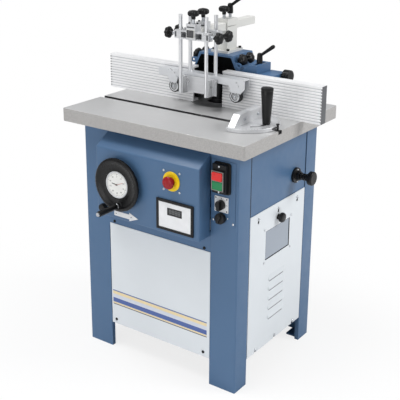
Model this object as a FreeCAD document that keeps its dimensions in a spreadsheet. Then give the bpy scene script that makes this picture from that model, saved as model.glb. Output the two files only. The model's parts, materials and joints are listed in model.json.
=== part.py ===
"""Spindle moulder: floor machine with a ribbed two-part fence, pressure unit and mitre gauge.

Frame: millimetres, +X to the right along the front, +Y to the back, +Z up.
The origin is on the floor, at the centre of the four anchor holes.
"""
import FreeCAD
import Part
import math
import os
import Sketcher

doc = FreeCAD.newDocument("spindle_moulder")
sheet = doc.addObject("Spreadsheet::Sheet", "dims")

SIZES = (
    # Table
    ("table_width", 700.0, "table, left to right"),
    ("table_depth", 563.0, "table, front to back"),
    ("table_shift", -5.5, "table centre from the stand's centre, in Y"),
    ("table_height", 842.5, "floor to table top"),
    ("table_thick", 43.5, "height of the table's sides"),
    ("table_plate", 18.0, "plate over the hollow underside"),
    ("table_corner", 6.0, "round of the table's upright corners"),
    ("hollow_width", 540.0, "hollow under the table, in X"),
    ("hollow_depth", 410.0, "hollow under the table, in Y"),
    ("spindle_y", 98.0, "spindle axis behind the stand's centre"),
    ("spindle_hole_radius", 95.0, "opening in the table for the cutter block"),
    ("slot_y", -93.0, "centre of the mitre slot"),
    ("slot_width", 19.0, "mitre slot width"),
    ("slot_depth", 10.0, "mitre slot depth"),
    # Fits
    ("run_gap", 0.05, "radial clearance of a shaft in its bore"),
    ("slide_gap", 0.3, "clearance between sliding faces"),
    # Stand
    ("stand_half_x", 301.5, "outer face of the legs, in X"),
    ("stand_half_y", 238.5, "outer face of the legs, in Y"),
    ("leg_face", 98.0, "leg width on the front and back"),
    ("leg_side", 67.0, "leg width on the sides"),
    ("leg_return", 15.0, "inward fold along each leg edge"),
    ("leg_sheet", 3.0, "leg sheet thickness"),
    ("foot_side", 52.0, "square foot plate"),
    ("foot_thick", 6.0, "foot plate thickness"),
    ("anchor_radius", 6.0, "floor anchor hole radius"),
    ("rail_depth", 15.0, "rails, measured into the cabinet"),
    ("low_rail_bottom", 96.0, "underside of the low rails"),
    ("low_rail_top", 124.0, "top of the low rails"),
    ("top_rail_height", 29.0, "rails under the table"),
    # Panels and screws
    ("panel_sheet", 2.0, "cover sheet thickness"),
    ("front_panel_half", 199.5, "front cover, half width"),
    ("front_panel_bottom", 94.0, "front cover, lower edge"),
    ("front_screw_x", 181.0, "front cover screws from the middle"),
    ("front_screw_low", 110.5, "lower front cover screws"),
    ("back_panel_half", 215.0, "back cover, half width"),
    ("panel_recess", 2.3, "upper right cover behind the legs' faces"),
    ("cover_bottom", 92.0, "lower edge of the back and left covers"),
    ("screw_shank", 2.5, "cover screw shank radius"),
    ("screw_head", 5.0, "cover screw head radius"),
    ("screw_height", 3.0, "cover screw head height"),
    # Side door
    ("door_half", 168.5, "side door, half width"),
    ("door_bottom", 91.0, "side door, lower edge"),
    ("door_gap", 2.0, "gap between the door and the panel above it"),
    ("door_screw_pitch", 120.5, "keyhole pitch along the door"),
    ("door_screw_low", 102.0, "lower keyhole screws"),
    ("key_travel", 10.0, "lift that frees the door from its screws"),
    ("key_gap", 0.5, "clearance of the screw head in the keyhole"),
    ("window_half", 75.0, "door window, half width"),
    ("window_lap", 14.0, "window pane behind the door, beyond its opening"),
    ("window_screw_inset", 7.0, "window screws outside the opening's edges"),
    ("window_screw_head", 3.5, "window screw head radius"),
    ("window_screw_shank", 1.6, "window screw shank radius"),
    ("window_screw_gap", 0.4, "window screw clearance in the door"),
    ("window_screw_height", 1.8, "window screw head height"),
    ("louvre_half", 50.0, "louvre, half width"),
    ("louvre_drop", 11.3, "lowest louvre below the third part of the lower door"),
    ("louvre_height", 17.0, "louvre hood height"),
    ("louvre_proud", 5.0, "louvre hood depth"),
    ("louvre_wall", 1.5, "louvre sheet thickness"),
    ("door_knob_radius", 16.0, "door knob radius"),
    ("door_knob_length", 16.0, "door knob head"),
    ("door_knob_neck", 6.0, "door knob neck length"),
    ("door_knob_neck_radius", 8.0, "door knob neck radius"),
    # Console
    ("console_half", 201.0, "console, half width"),
    ("console_proud", 58.5, "console face ahead of the legs"),
    ("console_sheet", 2.0, "console sheet thickness"),
    # Display
    ("display_left", 44.0, "display frame, left edge"),
    ("display_right", 183.0, "display frame, right edge"),
    ("display_proud", 6.0, "display frame thickness"),
    ("display_border", 9.0, "display frame border"),
    ("display_face_proud", 4.0, "display face plate thickness"),
    ("screen_width", 50.0, "digit window width"),
    ("screen_height", 19.0, "digit window height"),
    ("screen_rise", 14.0, "digit window centre above the face's centre"),
    ("screen_depth", 1.0, "digit window recess"),
    # Emergency stop
    ("stop_x", 100.0, "emergency stop centre, in X"),
    ("stop_disc_radius", 31.0, "yellow disc radius"),
    ("stop_disc_thick", 3.0, "yellow disc thickness"),
    ("stop_stem_radius", 13.0, "stem radius"),
    ("stop_head_radius", 20.0, "mushroom radius"),
    ("stop_head_rim", 5.0, "straight rim of the mushroom"),
    ("stop_head_dome", 5.5, "dome of the mushroom"),
    ("stop_stand_off", 15.0, "mushroom's underside from the console"),
    ("stop_tail", 11.0, "stem inside the console"),
    ("stop_screw_pitch", 60.0, "square of screws around the disc"),
    # Switches on the front right leg
    ("control_left", 207.0, "control plate, left edge"),
    ("control_right", 292.0, "control plate, right edge"),
    ("control_x", 244.0, "centre line of the switches"),
    ("switch_width", 49.0, "switch housing width"),
    ("switch_depth", 18.0, "switch housing depth"),
    ("button_width", 36.0, "push button width"),
    ("button_height", 26.0, "push button height"),
    ("button_proud", 5.0, "push button ahead of its housing"),
    ("button_seat", 8.0, "push button inside its housing"),
    ("button_room", 4.0, "space behind a push button"),
    ("button_corner", 3.0, "round of the button corners"),
    ("selector_thick", 2.5, "selector plate thickness"),
    ("selector_radius", 15.0, "selector knob radius"),
    ("selector_length", 12.0, "selector knob skirt"),
    ("selector_grip", 8.0, "selector knob grip height"),
    ("selector_grip_width", 9.0, "selector knob grip width"),
    ("selector_stem", 5.0, "selector stem radius"),
    ("isolator_radius", 17.0, "isolator radius"),
    ("isolator_depth", 15.0, "isolator depth"),
    # Belt tension handle
    ("tension_y", 103.0, "tension handle axis, in Y"),
    ("tension_flange_radius", 25.5, "tension flange radius"),
    ("tension_flange_thick", 8.5, "tension flange thickness"),
    ("tension_boss_radius", 15.0, "tension boss radius"),
    ("tension_boss_length", 12.0, "tension boss beyond its flange"),
    ("tension_shaft_radius", 9.0, "tension shaft radius"),
    ("tension_shaft_length", 31.0, "tension shaft between boss and knob"),
    ("tension_tail", 12.0, "tension shaft inside the cabinet"),
    ("tension_knob_radius", 23.0, "tension knob radius"),
    ("tension_knob_length", 18.0, "tension knob length"),
    ("tension_knob_edge", 3.0, "tension knob edge chamfer"),
    # Handwheel and lift
    ("wheel_x", -100.0, "handwheel axis, in X"),
    ("wheel_radius", 87.5, "handwheel radius"),
    ("wheel_back", 3.0, "hub clear of the console"),
    ("wheel_hub_radius", 24.0, "hub radius"),
    ("wheel_hub_length", 9.0, "hub length behind the disc"),
    ("wheel_disc_radius", 70.0, "where the dish meets the rim"),
    ("wheel_dish", 4.0, "dish rise towards the rim"),
    ("wheel_rim_depth", 14.0, "rim depth"),
    ("wheel_rim_back", 1.0, "rim's back edge ahead of the hub's front"),
    ("wheel_edge", 4.0, "round of the rim"),
    ("dial_radius", 44.0, "dial radius"),
    ("dial_thick", 5.0, "dial thickness"),
    ("dial_floor", 4.0, "wheel disc behind the dial"),
    ("wheel_shaft_radius", 8.0, "handwheel shaft radius"),
    ("crank_radius", 68.0, "crank handle from the wheel's axis"),
    ("crank_lean", 4.0, "crank handle to the right of the axis"),
    ("crank_handle_radius", 9.5, "crank handle radius"),
    ("crank_handle_length", 82.0, "crank handle length"),
    ("crank_pin_radius", 4.0, "crank pin radius"),
    ("crank_head_radius", 6.5, "crank pin head radius"),
    ("crank_head_length", 4.0, "crank pin head"),
    ("crank_washer", 3.0, "shoulder under the crank handle"),
    ("lock_x", -165.0, "lift lock knob, in X"),
    ("lock_radius", 13.0, "lift lock knob radius"),
    ("lock_length", 16.0, "lift lock knob head"),
    ("lock_neck", 7.0, "lift lock knob neck"),
    ("lock_stem_radius", 5.0, "lift lock stem radius"),
    ("lock_tail", 12.0, "lift lock stem inside the console"),
    ("screw_y", 60.0, "lift screw axis, in Y"),
    ("screw_radius", 9.0, "lift screw radius"),
    ("bevel_cone", 20.0, "bevel gear cone length and outer radius"),
    ("bevel_face", 8.0, "bevel gear face, along its axis"),
    ("bevel_hub_radius", 14.0, "bevel gear hub radius"),
    ("bevel_hub_length", 7.0, "bevel gear hub length"),
    ("bevel_gap", 0.4, "clearance at the bevel mesh"),
    # Slideway under the table
    ("way_left", -135.0, "slideway, left edge"),
    ("way_right", 70.0, "slideway, right edge"),
    ("way_front", 168.0, "slideway, front face"),
    ("way_thick", 18.0, "slideway plate thickness"),
    ("way_flange", 46.0, "slideway top flange, front to back"),
    ("way_flange_thick", 15.0, "slideway top flange thickness"),
    ("way_arm_thick", 12.0, "slideway arms"),
    ("way_arm_front", 42.0, "front end of the lift screw arms"),
    ("way_arm_right", -70.0, "right edge of the lift screw arms"),
    ("way_side_front", 4.0, "front end of the side plate"),
    ("way_bearing_length", 16.0, "handwheel shaft bearing"),
    ("way_bearing_half", 20.0, "handwheel shaft bearing, half height"),
    ("way_collar_radius", 14.0, "lift screw thrust collar radius"),
    ("way_collar_length", 10.0, "lift screw thrust collar"),
    # Spindle unit
    ("quill_radius", 45.0, "spindle housing radius"),
    ("quill_web_half", 30.0, "web to the slideway, half width"),
    ("nut_height", 24.0, "lift nut arm height"),
    ("nut_half", 14.0, "lift nut arm, half depth and end"),
    ("motor_x", 150.0, "motor axis, in X"),
    ("motor_y", 58.0, "motor axis, in Y"),
    ("motor_radius", 72.0, "motor radius"),
    ("motor_length", 200.0, "motor body length"),
    ("motor_cap_radius", 62.0, "motor end cap radius"),
    ("motor_cap", 18.0, "motor end cap length"),
    ("motor_shaft_radius", 12.0, "motor shaft radius"),
    ("motor_shaft_seat", 40.0, "motor shaft inside the motor"),
    ("motor_plate", 12.0, "motor plate thickness"),
    ("motor_plate_margin", 4.0, "motor plate beyond the motor"),
    ("motor_plate_hole", 22.0, "motor plate hole radius"),
    ("spindle_radius", 20.0, "spindle in its housing, radius"),
    ("arbor_radius", 15.0, "cutter arbor radius"),
    ("flange_radius", 26.0, "arbor flange radius"),
    ("flange_thick", 12.0, "arbor flange thickness"),
    ("ring_radius", 25.0, "spacer ring radius"),
    ("ring_groove", 1.0, "groove between spacer rings"),
    ("ring_height", 18.0, "spacer ring height"),
    ("clamp_washer", 7.0, "arbor clamp washer thickness"),
    ("clamp_radius", 22.0, "arbor clamp washer radius"),
    ("clamp_nut_radius", 15.5, "arbor nut, half width across flats"),
    ("pulley_step", 30.0, "height of one pulley step"),
    ("pulley_lip", 3.0, "pulley lip height"),
    ("pulley_lip_rise", 2.0, "pulley lip beyond the belt seat"),
    ("spindle_fast_radius", 35.0, "spindle pulley, upper step"),
    ("spindle_slow_radius", 45.0, "spindle pulley, lower step"),
    ("motor_fast_radius", 50.0, "motor pulley, upper step"),
    ("motor_slow_radius", 40.0, "motor pulley, lower step"),
    ("belt_thick", 5.0, "belt thickness"),
    ("belt_width", 20.0, "belt width"),
    # Hood
    ("hood_front", 76.0, "front of the hood"),
    ("hood_depth", 120.0, "hood, front to back"),
    ("hood_half", 98.0, "hood, half width at the table"),
    ("hood_bend_x", 81.0, "half width at the lower bend"),
    ("hood_top_half", 66.0, "half width of the flat top"),
    ("hood_wall", 7.0, "hood wall thickness"),
    ("lug_x", 90.0, "front lugs, in X"),
    ("lug_radius", 9.0, "front lug radius"),
    ("lug_hole", 4.0, "front lug hole radius"),
    ("lug_thick", 4.0, "front lug thickness"),
    ("wing_front", 80.0, "front of the wing blocks"),
    ("wing_back", 165.0, "back of the wing blocks"),
    ("wing_right", 158.0, "outer face of the wing blocks"),
    ("wing_slope", 26.0, "fall of the wing top towards the hood"),
    ("tunnel_wall", 8.0, "front and back walls of the guideway"),
    ("tunnel_left", 106.0, "inner end of the guideway"),
    ("lever_slot_half", 6.0, "clamp slot in the wing top, half width"),
    ("arm_right", 215.0, "outer end of the fence arms"),
    ("arm_back", 168.0, "back of the fence arms"),
    ("arm_gap", 0.5, "fence arm clear of the wing block"),
    ("tongue_front", 103.0, "front of the sliding tongue"),
    ("tongue_back", 143.0, "back of the sliding tongue"),
    ("tongue_left", 116.0, "inner end of the sliding tongue"),
    ("port_x", 46.0, "extraction spigot, right of the middle"),
    ("port_radius", 50.0, "extraction spigot, outer radius"),
    ("port_wall", 3.0, "extraction spigot wall"),
    ("port_length", 44.0, "extraction spigot length"),
    # Fence
    ("fence_front", 30.4, "front face of the fence"),
    ("fence_thick", 30.6, "fence thickness"),
    ("fence_height", 119.4, "fence height"),
    ("fence_gap", 58.0, "inner end of each fence half"),
    ("fence_length", 360.6, "length of each fence half"),
    ("groove_first", 5.5, "lowest groove above the fence's foot"),
    ("groove_pitch", 9.3, "groove spacing"),
    ("groove_height", 3.6, "groove height"),
    ("groove_depth", 1.6, "groove depth"),
    ("back_wall", 7.0, "fence front and end walls of the back channels"),
    ("back_web", 36.0, "middle web of the fence's back"),
    # Fence arm knob and clamp levers
    ("adjust_y", 150.0, "fine adjuster axis, in Y"),
    ("adjust_radius", 21.0, "fine adjuster knob radius"),
    ("adjust_length", 24.0, "fine adjuster knob length"),
    ("adjust_neck", 4.0, "fine adjuster clear of the arm"),
    ("adjust_shaft", 6.0, "fine adjuster shaft radius"),
    ("adjust_shaft_length", 40.0, "fine adjuster shaft in the arm"),
    ("adjust_knurl", 1.6, "knurl groove radius"),
    ("lever_x", 140.0, "wing clamp lever, in X"),
    ("lever_y", 124.0, "wing clamp lever, in Y"),
    ("lever_hub_radius", 10.0, "clamp lever hub radius"),
    ("lever_hub_height", 34.0, "clamp lever hub height"),
    ("lever_arm_radius", 6.5, "clamp lever arm radius"),
    ("lever_arm_tip", 5.0, "clamp lever arm tip radius"),
    ("lever_arm_length", 66.0, "clamp lever arm length"),
    ("lever_tilt", 54.0, "clamp lever arm from upright, degrees"),
    ("lever_stud_radius", 5.0, "clamp lever stud radius"),
    ("lever_stud_seat", 10.0, "clamp lever stud in the tongue"),
    # Hand knobs
    ("knob_radius", 19.0, "hand knob radius"),
    ("knob_height", 20.0, "hand knob height"),
    ("knob_edge", 3.0, "hand knob edge"),
    ("knob_neck", 22.0, "bare stud under a hand knob"),
    ("hood_knob_neck", 9.0, "neck of the knobs on the hood"),
    ("knob_neck_radius", 5.0, "neck radius"),
    ("knob_stud_radius", 4.0, "stud radius"),
    ("knob_scallop", 5.5, "finger scallop radius"),
    ("hood_knob_front", 101.0, "front knobs on the hood, in Y"),
    ("hood_knob_pitch", 44.0, "knob spacing on the hood"),
    # Tower and tube
    ("tower_half", 20.5, "tower, half width"),
    ("tower_front", 113.0, "tower, front face"),
    ("tower_back", 170.0, "tower, back face"),
    ("tower_base_half", 34.0, "tower flange, half width"),
    ("tower_base_front", 96.0, "tower flange, front edge"),
    ("tower_base_back", 188.0, "tower flange, back edge"),
    ("tower_base_thick", 8.0, "tower flange thickness"),
    ("tower_screw_x", 28.0, "tower screws from the middle"),
    ("tower_screw_inset", 10.0, "tower screws from the flange's ends"),
    ("tower_screw_radius", 5.0, "tower screw head radius"),
    ("tower_screw_height", 6.0, "tower screw head height"),
    ("tower_cut", 2.5, "saw cut of the tower's clamp"),
    ("tower_knob_y", 122.0, "tower knob, in Y"),
    ("tower_lever_y", 158.0, "tower lever, in Y"),
    ("tower_lever_neck", 13.0, "bare stud under the tower lever"),
    ("tube_width", 30.0, "square tube, in X"),
    ("tube_height", 26.0, "square tube, in Z"),
    ("tube_wall", 3.0, "square tube wall"),
    ("tube_front", -68.0, "front end of the square tube"),
    ("tube_back", 292.0, "back end of the square tube"),
    # Crossheads, rods, guard and rollers
    ("front_rod_y", -50.0, "front rods, in Y"),
    ("rear_rod_y", 3.0, "rear rods, in Y"),
    ("rod_x", 50.0, "rods from the middle"),
    ("rod_radius", 6.0, "rod radius"),
    ("head_half", 18.0, "crosshead block, half width"),
    ("head_half_depth", 15.0, "crosshead block, half depth"),
    ("beam_half", 66.0, "crosshead beam, half width"),
    ("beam_half_depth", 12.0, "crosshead beam, half depth"),
    ("beam_wall", 4.0, "walls of the beam's windows"),
    ("beam_web", 5.0, "web behind the beam's windows"),
    ("boss_half", 10.0, "solid beam beside a rod, half width"),
    ("head_slot_half", 14.0, "saw cut over the tube, half width"),
    ("head_slot_height", 4.0, "saw cut over the tube, height"),
    ("guard_half", 68.0, "guard plate, half width"),
    ("guard_back", -15.0, "back face of the guard plate"),
    ("guard_plate", 4.0, "guard plate thickness"),
    ("guard_arm_half", 8.0, "guard arm, half width"),
    ("guard_arm_front", -48.0, "front of the guard arms"),
    ("guard_rib_pitch", 7.0, "spacing of the grooves in the guard arms"),
    ("guard_rib_width", 3.0, "width of the grooves in the guard arms"),
    ("guard_rib_depth", 1.4, "depth of the grooves in the guard arms"),
    ("shoe_half", 169.0, "roller channel, half length"),
    ("shoe_front", -12.0, "roller channel, front face"),
    ("shoe_depth", 30.0, "roller channel, front to back"),
    ("shoe_sheet", 3.0, "roller channel sheet"),
    ("shoe_waist", 23.0, "roller channel height between the lugs"),
    ("shoe_left_edge", 26.0, "roller channel height at its left end"),
    ("shoe_right_edge", 30.0, "roller channel height at its right end"),
    ("lug_tip_half", 7.0, "roller lug tip, half width"),
    ("lug_tip_drop", 7.0, "roller lug tip below its axle"),
    ("lug_front_rise", 13.0, "front sheet of the roller lugs above the axle"),
    ("lug_run", 21.0, "roller lug's lean beside its tip"),
    ("roller_left", -110.0, "left roller, in X"),
    ("roller_right", 131.0, "right roller, in X"),
    ("roller_radius", 21.0, "roller radius"),
    ("roller_width", 18.0, "roller width"),
    ("roller_edge", 1.5, "roller edge chamfer"),
    ("roller_rim", 14.0, "inside of the roller's tyre"),
    ("roller_hub", 6.0, "roller hub radius"),
    ("roller_web", 8.0, "roller web thickness"),
    ("roller_hole_ring", 10.0, "ring of holes in the roller web"),
    ("roller_hole", 2.4, "hole in the roller web"),
    ("axle_radius", 3.0, "roller axle radius"),
    ("shoe_hole_radius", 2.2, "spare axle holes in the lugs"),
    ("shoe_hole_first", 8.5, "first spare hole from the axle, in X"),
    ("shoe_hole_step", 8.5, "second spare hole further on, in X"),
    ("shoe_hole_top", 47.0, "first spare hole above the axle"),
    ("shoe_hole_fall", 10.5, "second spare hole lower by"),
    # Mitre gauge
    ("gauge_x", 235.0, "mitre pivot, in X"),
    ("gauge_radius", 100.0, "mitre plate radius"),
    ("gauge_thick", 12.0, "mitre plate thickness"),
    ("gauge_back", 11.0, "straight edge of the mitre plate from its pivot"),
    ("gauge_face_thick", 24.0, "upright face thickness"),
    ("gauge_face_top", 34.0, "upright face above the plate"),
    ("gauge_face_foot", 94.0, "upright face, half length at its foot"),
    ("gauge_face_head", 62.0, "upright face, half length at its top"),
    ("gauge_slot_radius", 66.0, "curved slot and handle from the pivot"),
    ("gauge_slot_half", 5.6, "curved slot, half width"),
    ("gauge_slot_angle", 104.0, "curved slot, degrees"),
    ("gauge_pin_radius", 6.0, "mitre pivot pin radius"),
    ("bar_left", 60.0, "left end of the mitre bar"),
    ("bar_right", 346.0, "right end of the mitre bar"),
    ("bar_side_gap", 0.2, "mitre bar clearance at each side of its slot"),
    ("grip_base_radius", 12.0, "mitre handle radius at its foot"),
    ("grip_top_radius", 19.0, "mitre handle radius at its top"),
    ("grip_height", 112.0, "mitre handle height"),
    ("grip_edge", 2.5, "mitre handle edge"),
    ("grip_stud_radius", 5.0, "mitre handle stud radius"),
    ("grip_stud_seat", 6.0, "mitre handle stud in the bar"),
    ("pointer_post_radius", 3.5, "pointer post radius"),
    ("pointer_height", 14.0, "pointer above the bar"),
    ("pointer_rod_radius", 2.2, "pointer rod radius"),
    ("pointer_length", 30.0, "pointer rod length"),
    ("pointer_inset", 5.0, "pointer post from the bar's end"),
)

# Heights measured up from the table top
RISES = (
    # Spindle unit
    ("arbor_top", 97.5, "top of the arbor"),
    ("ring_top", 7.5, "top of the spacer rings"),
    ("clamp_bottom", 77.5, "underside of the arbor's clamp washer"),
    ("clamp_nut_top", 103.5, "top of the arbor nut"),
    # Hood
    ("hood_shoulder_z", 97.5, "where the hood's sides lean in"),
    ("hood_bend_z", 123.5, "height of the lower bend"),
    ("hood_top", 161.5, "flat top of the hood"),
    ("lug_z", 132.5, "front lugs, height"),
    ("wing_top", 139.5, "top of the right wing block"),
    ("left_wing_top", 62.5, "top of the left wing block and its arm"),
    ("tunnel_bottom", 37.5, "floor of the right wing's guideway"),
    ("tunnel_top", 102.5, "roof of the right wing's guideway"),
    ("arm_top", 113.5, "top of the right fence arm"),
    ("port_z", 72.5, "extraction spigot height"),
    # Fence arm knob and clamp levers
    ("adjust_z", 104.0, "fine adjuster height"),
    # Hand knobs
    ("hood_knob_z", 142.5, "knobs on the hood, height of their seats"),
    # Tower and tube
    ("tower_top", 271.5, "tower top"),
    ("tube_z", 247.5, "square tube centre height"),
    # Crossheads, rods, guard and rollers
    ("rod_top", 302.5, "rod tops"),
    ("head_bottom", 227.5, "crosshead underside"),
    ("head_top", 277.5, "crosshead block top"),
    ("beam_top", 253.5, "crosshead beam top"),
    ("head_slot_bottom", 265.5, "saw cut over the tube, underside"),
    ("guard_bottom", 46.5, "guard, lower edge"),
    ("guard_top", 100.5, "guard, upper edge"),
    ("shoe_top", 111.5, "roller channel top"),
    ("roller_z", 53.5, "roller axle height"),
)

# Heights measured down from the table top
DROPS = (
    # Stand
    ("mid_rail_bottom", 390.5, "underside of the front middle rail"),
    ("mid_rail_top", 312.5, "top of the front middle rail"),
    ("door_rail_bottom", 302.5, "underside of the rail over the door"),
    # Panels and screws
    ("front_panel_top", 378.5, "front cover, upper edge"),
    ("front_screw_high", 370.5, "upper front cover screws"),
    # Side door
    ("door_top", 266.5, "side door, upper edge"),
    ("door_screw_high", 286.0, "upper keyhole screws"),
    ("window_bottom", 441.5, "door window, lower edge"),
    ("window_top", 342.5, "door window, upper edge"),
    ("door_knob_z", 315.5, "door knob height"),
    # Console
    ("console_bottom", 327.5, "console underside"),
    ("console_front_top", 97.0, "upper edge of the console face"),
    ("console_back_top", 60.5, "console slope where it meets the stand"),
    # Display
    ("display_bottom", 315.5, "display frame, lower edge"),
    ("display_top", 215.0, "display frame, upper edge"),
    # Emergency stop
    ("stop_z", 153.5, "emergency stop height"),
    # Switches on the front right leg
    ("control_bottom", 274.5, "control plate, lower edge"),
    ("control_top", 74.5, "control plate, upper edge"),
    ("switch_bottom", 172.5, "switch housing, lower edge"),
    ("switch_top", 81.5, "switch housing, upper edge"),
    ("stop_button_z", 116.5, "centre of the red button"),
    ("start_button_z", 145.5, "centre of the green button"),
    ("selector_bottom", 235.5, "selector plate, lower edge"),
    ("selector_top", 187.0, "selector plate, upper edge"),
    ("isolator_z", 254.5, "isolator height"),
    # Belt tension handle
    ("tension_z", 204.5, "tension handle height"),
    # Handwheel and lift
    ("wheel_z", 202.5, "handwheel height"),
    ("lock_z", 294.5, "lift lock knob height"),
    ("screw_bottom", 476.5, "lower end of the lift screw"),
    # Slideway under the table
    ("way_bottom", 470.5, "slideway, lower edge"),
    ("way_top_arm", 242.5, "underside of the upper lift screw arm"),
    # Spindle unit
    ("quill_bottom", 302.5, "spindle housing, lower end"),
    ("quill_top", 82.5, "spindle housing, upper end"),
    ("quill_web_bottom", 290.5, "web, lower end"),
    ("quill_web_top", 92.5, "web, upper end"),
    ("nut_bottom", 294.5, "lift nut arm, underside"),
    ("flange_bottom", 78.5, "arbor flange, underside"),
    ("pulley_bottom", 372.5, "underside of the pulleys"),
)

LOUVRE_COUNT = 5
LOUVRE_PARTS = 9
LOUVRE_LOWEST = 3
GROOVE_COUNT = 12
GUARD_RIB_COUNT = 3
SCALLOP_COUNT = 7
KNURL_COUNT = 20
ROLLER_HOLE_COUNT = 5
NUT_SIDES = 6
FULL_TURN = 360.0

PLANE_TURN = {
    "+x": FreeCAD.Rotation(FreeCAD.Vector(0, 1, 0), 90),
    "-x": FreeCAD.Rotation(FreeCAD.Vector(0, 1, 0), -90),
    "+y": FreeCAD.Rotation(FreeCAD.Vector(1, 0, 0), -90),
    "-y": FreeCAD.Rotation(FreeCAD.Vector(1, 0, 0), 90),
    "+z": FreeCAD.Rotation(),
}


class Size:
    """A length that carries its number and the sheet expression that gives it."""

    def __init__(self, value, text):
        self.value = value
        self.text = text

    def __add__(self, other):
        other = size(other)
        return Size(self.value + other.value, f"({self.text} + {other.text})")

    def __sub__(self, other):
        other = size(other)
        return Size(self.value - other.value, f"({self.text} - {other.text})")

    def __mul__(self, other):
        other = size(other)
        return Size(self.value * other.value, f"({self.text} * {other.text})")

    def __truediv__(self, other):
        other = size(other)
        return Size(self.value / other.value, f"({self.text} / {other.text})")

    def __rsub__(self, other):
        return size(other) - self

    def __radd__(self, other):
        return size(other) + self

    def __rmul__(self, other):
        return size(other) * self

    def __neg__(self):
        return Size(-self.value, f"(0 - {self.text})")

    def root(self):
        """Square root."""
        return Size(math.sqrt(self.value), f"sqrt({self.text})")

    def arc_tangent(self):
        """Angle in degrees whose tangent this is."""
        return Size(math.degrees(math.atan(self.value)), f"(atan({self.text}) / 1 deg)")


def size(value):
    """Turn a plain number into a Size."""
    if isinstance(value, Size):
        return value
    return Size(value, repr(value))


class Dims:
    """The sheet's values, read by their names."""


def fill_sheet():
    """Write every driving dimension into the sheet and return them by name."""
    dims = Dims()
    for row, (alias, value, note) in enumerate(SIZES + RISES + DROPS, start=1):
        sheet.set(f"A{row}", note)
        sheet.set(f"B{row}", str(value))
        sheet.setAlias(f"B{row}", alias)
        setattr(dims, alias, Size(value, f"dims.{alias}"))
    doc.recompute()
    return dims


def floor_heights(dims):
    """Heights over the floor of the values that are measured from the table top."""
    heights = Dims()
    for alias, _, _ in RISES:
        setattr(heights, alias, dims.table_height + getattr(dims, alias))
    for alias, _, _ in DROPS:
        setattr(heights, alias, dims.table_height - getattr(dims, alias))
    return heights


d = fill_sheet()
h = floor_heights(d)
nodes = {}


def bind(thing, prop, value):
    """Tie a property to the sheet."""
    thing.setExpression(prop, size(value).text)


def place(thing, x, y, z, direction="+z"):
    """Put a thing at a sheet-bound place, its own +Z turned towards a direction."""
    thing.Placement = FreeCAD.Placement(FreeCAD.Vector(), PLANE_TURN[direction])
    bind(thing, "Placement.Base.x", x)
    bind(thing, "Placement.Base.y", y)
    bind(thing, "Placement.Base.z", z)


def block(name, x_span, y_span, z_span):
    """Box between two limits on each axis."""
    solid = doc.addObject("Part::Box", name)
    bind(solid, "Length", x_span[1] - x_span[0])
    bind(solid, "Width", y_span[1] - y_span[0])
    bind(solid, "Height", z_span[1] - z_span[0])
    place(solid, x_span[0], y_span[0], z_span[0])
    return solid


def rod(name, axis, radius, start, end, centre):
    """Cylinder along an axis from start to end; centre is the other two coordinates."""
    solid = doc.addObject("Part::Cylinder", name)
    bind(solid, "Radius", radius)
    bind(solid, "Height", end - start)
    first, second = centre
    spots = {"x": (start, first, second), "y": (first, start, second), "z": (first, second, start)}
    place(solid, *spots[axis], direction="+" + axis)
    return solid


def join(name, *pieces):
    """One solid from pieces that touch or overlap."""
    whole = doc.addObject("Part::MultiFuse", name)
    whole.Shapes = list(pieces)
    whole.Refine = True
    return whole


def gather(name, *pieces):
    """Several loose solids that make one sub-part."""
    whole = doc.addObject("Part::Compound", name)
    whole.Links = list(pieces)
    return whole


def carve(name, base, *tools):
    """Take tools away from a base."""
    result = doc.addObject("Part::Cut", name)
    result.Base = base
    result.Tool = tools[0] if len(tools) == 1 else join(name + "_tools", *tools)
    result.Refine = True
    return result


def mirror(name, source, axis):
    """Mirror image through the middle plane across an axis."""
    image = doc.addObject("Part::Mirroring", name)
    image.Source = source
    normals = {"x": FreeCAD.Vector(1, 0, 0), "y": FreeCAD.Vector(0, 1, 0)}
    image.Normal = normals[axis]
    return image


def keep(node, thing):
    """Name a finished sub-part; its label is its file name."""
    thing.Label = node
    nodes[node] = thing
    return thing


def new_body(name):
    """Empty body."""
    return doc.addObject("PartDesign::Body", name)


def origin_feature(body, role):
    """An axis or plane of the body's own origin."""
    return next(part for part in body.Origin.OriginFeatures if part.Role == role)


def new_sketch(body, plane, offset):
    """Sketch on one of the body's origin planes, moved along the plane's normal."""
    sketch = body.newObject("Sketcher::SketchObject", body.Name + "_sketch")
    sketch.AttachmentSupport = [(origin_feature(body, plane), "")]
    sketch.MapMode = "FlatFace"
    bind(sketch, "AttachmentOffset.Base.z", offset)
    return sketch


def pin_point(sketch, geometry, point, x, y):
    """Tie one sketch point to the sheet."""
    for kind, value in (("DistanceX", size(x)), ("DistanceY", size(y))):
        rule = Sketcher.Constraint(kind, -1, 1, geometry, point, value.value)
        index = sketch.addConstraint(rule)
        bind(sketch, f"Constraints[{index}]", value)


def outline(sketch, points):
    """Closed straight outline whose corners follow the sheet."""
    first = sketch.GeometryCount
    corners = [FreeCAD.Vector(size(x).value, size(y).value, 0) for x, y in points]
    count = len(corners)
    for index in range(count):
        following = corners[(index + 1) % count]
        sketch.addGeometry(Part.LineSegment(corners[index], following), False)
    for index in range(count):
        after = first + (index + 1) % count
        sketch.addConstraint(Sketcher.Constraint("Coincident", first + index, 2, after, 1))
    for index, (x, y) in enumerate(points):
        pin_point(sketch, first + index, 1, x, y)


def ring(sketch, x, y, radius):
    """Circle whose centre and radius follow the sheet."""
    centre = FreeCAD.Vector(size(x).value, size(y).value, 0)
    normal = FreeCAD.Vector(0, 0, 1)
    index = sketch.addGeometry(Part.Circle(centre, normal, size(radius).value), False)
    pin_point(sketch, index, 3, x, y)
    rule = sketch.addConstraint(Sketcher.Constraint("Radius", index, size(radius).value))
    bind(sketch, f"Constraints[{rule}]", radius)


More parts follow.
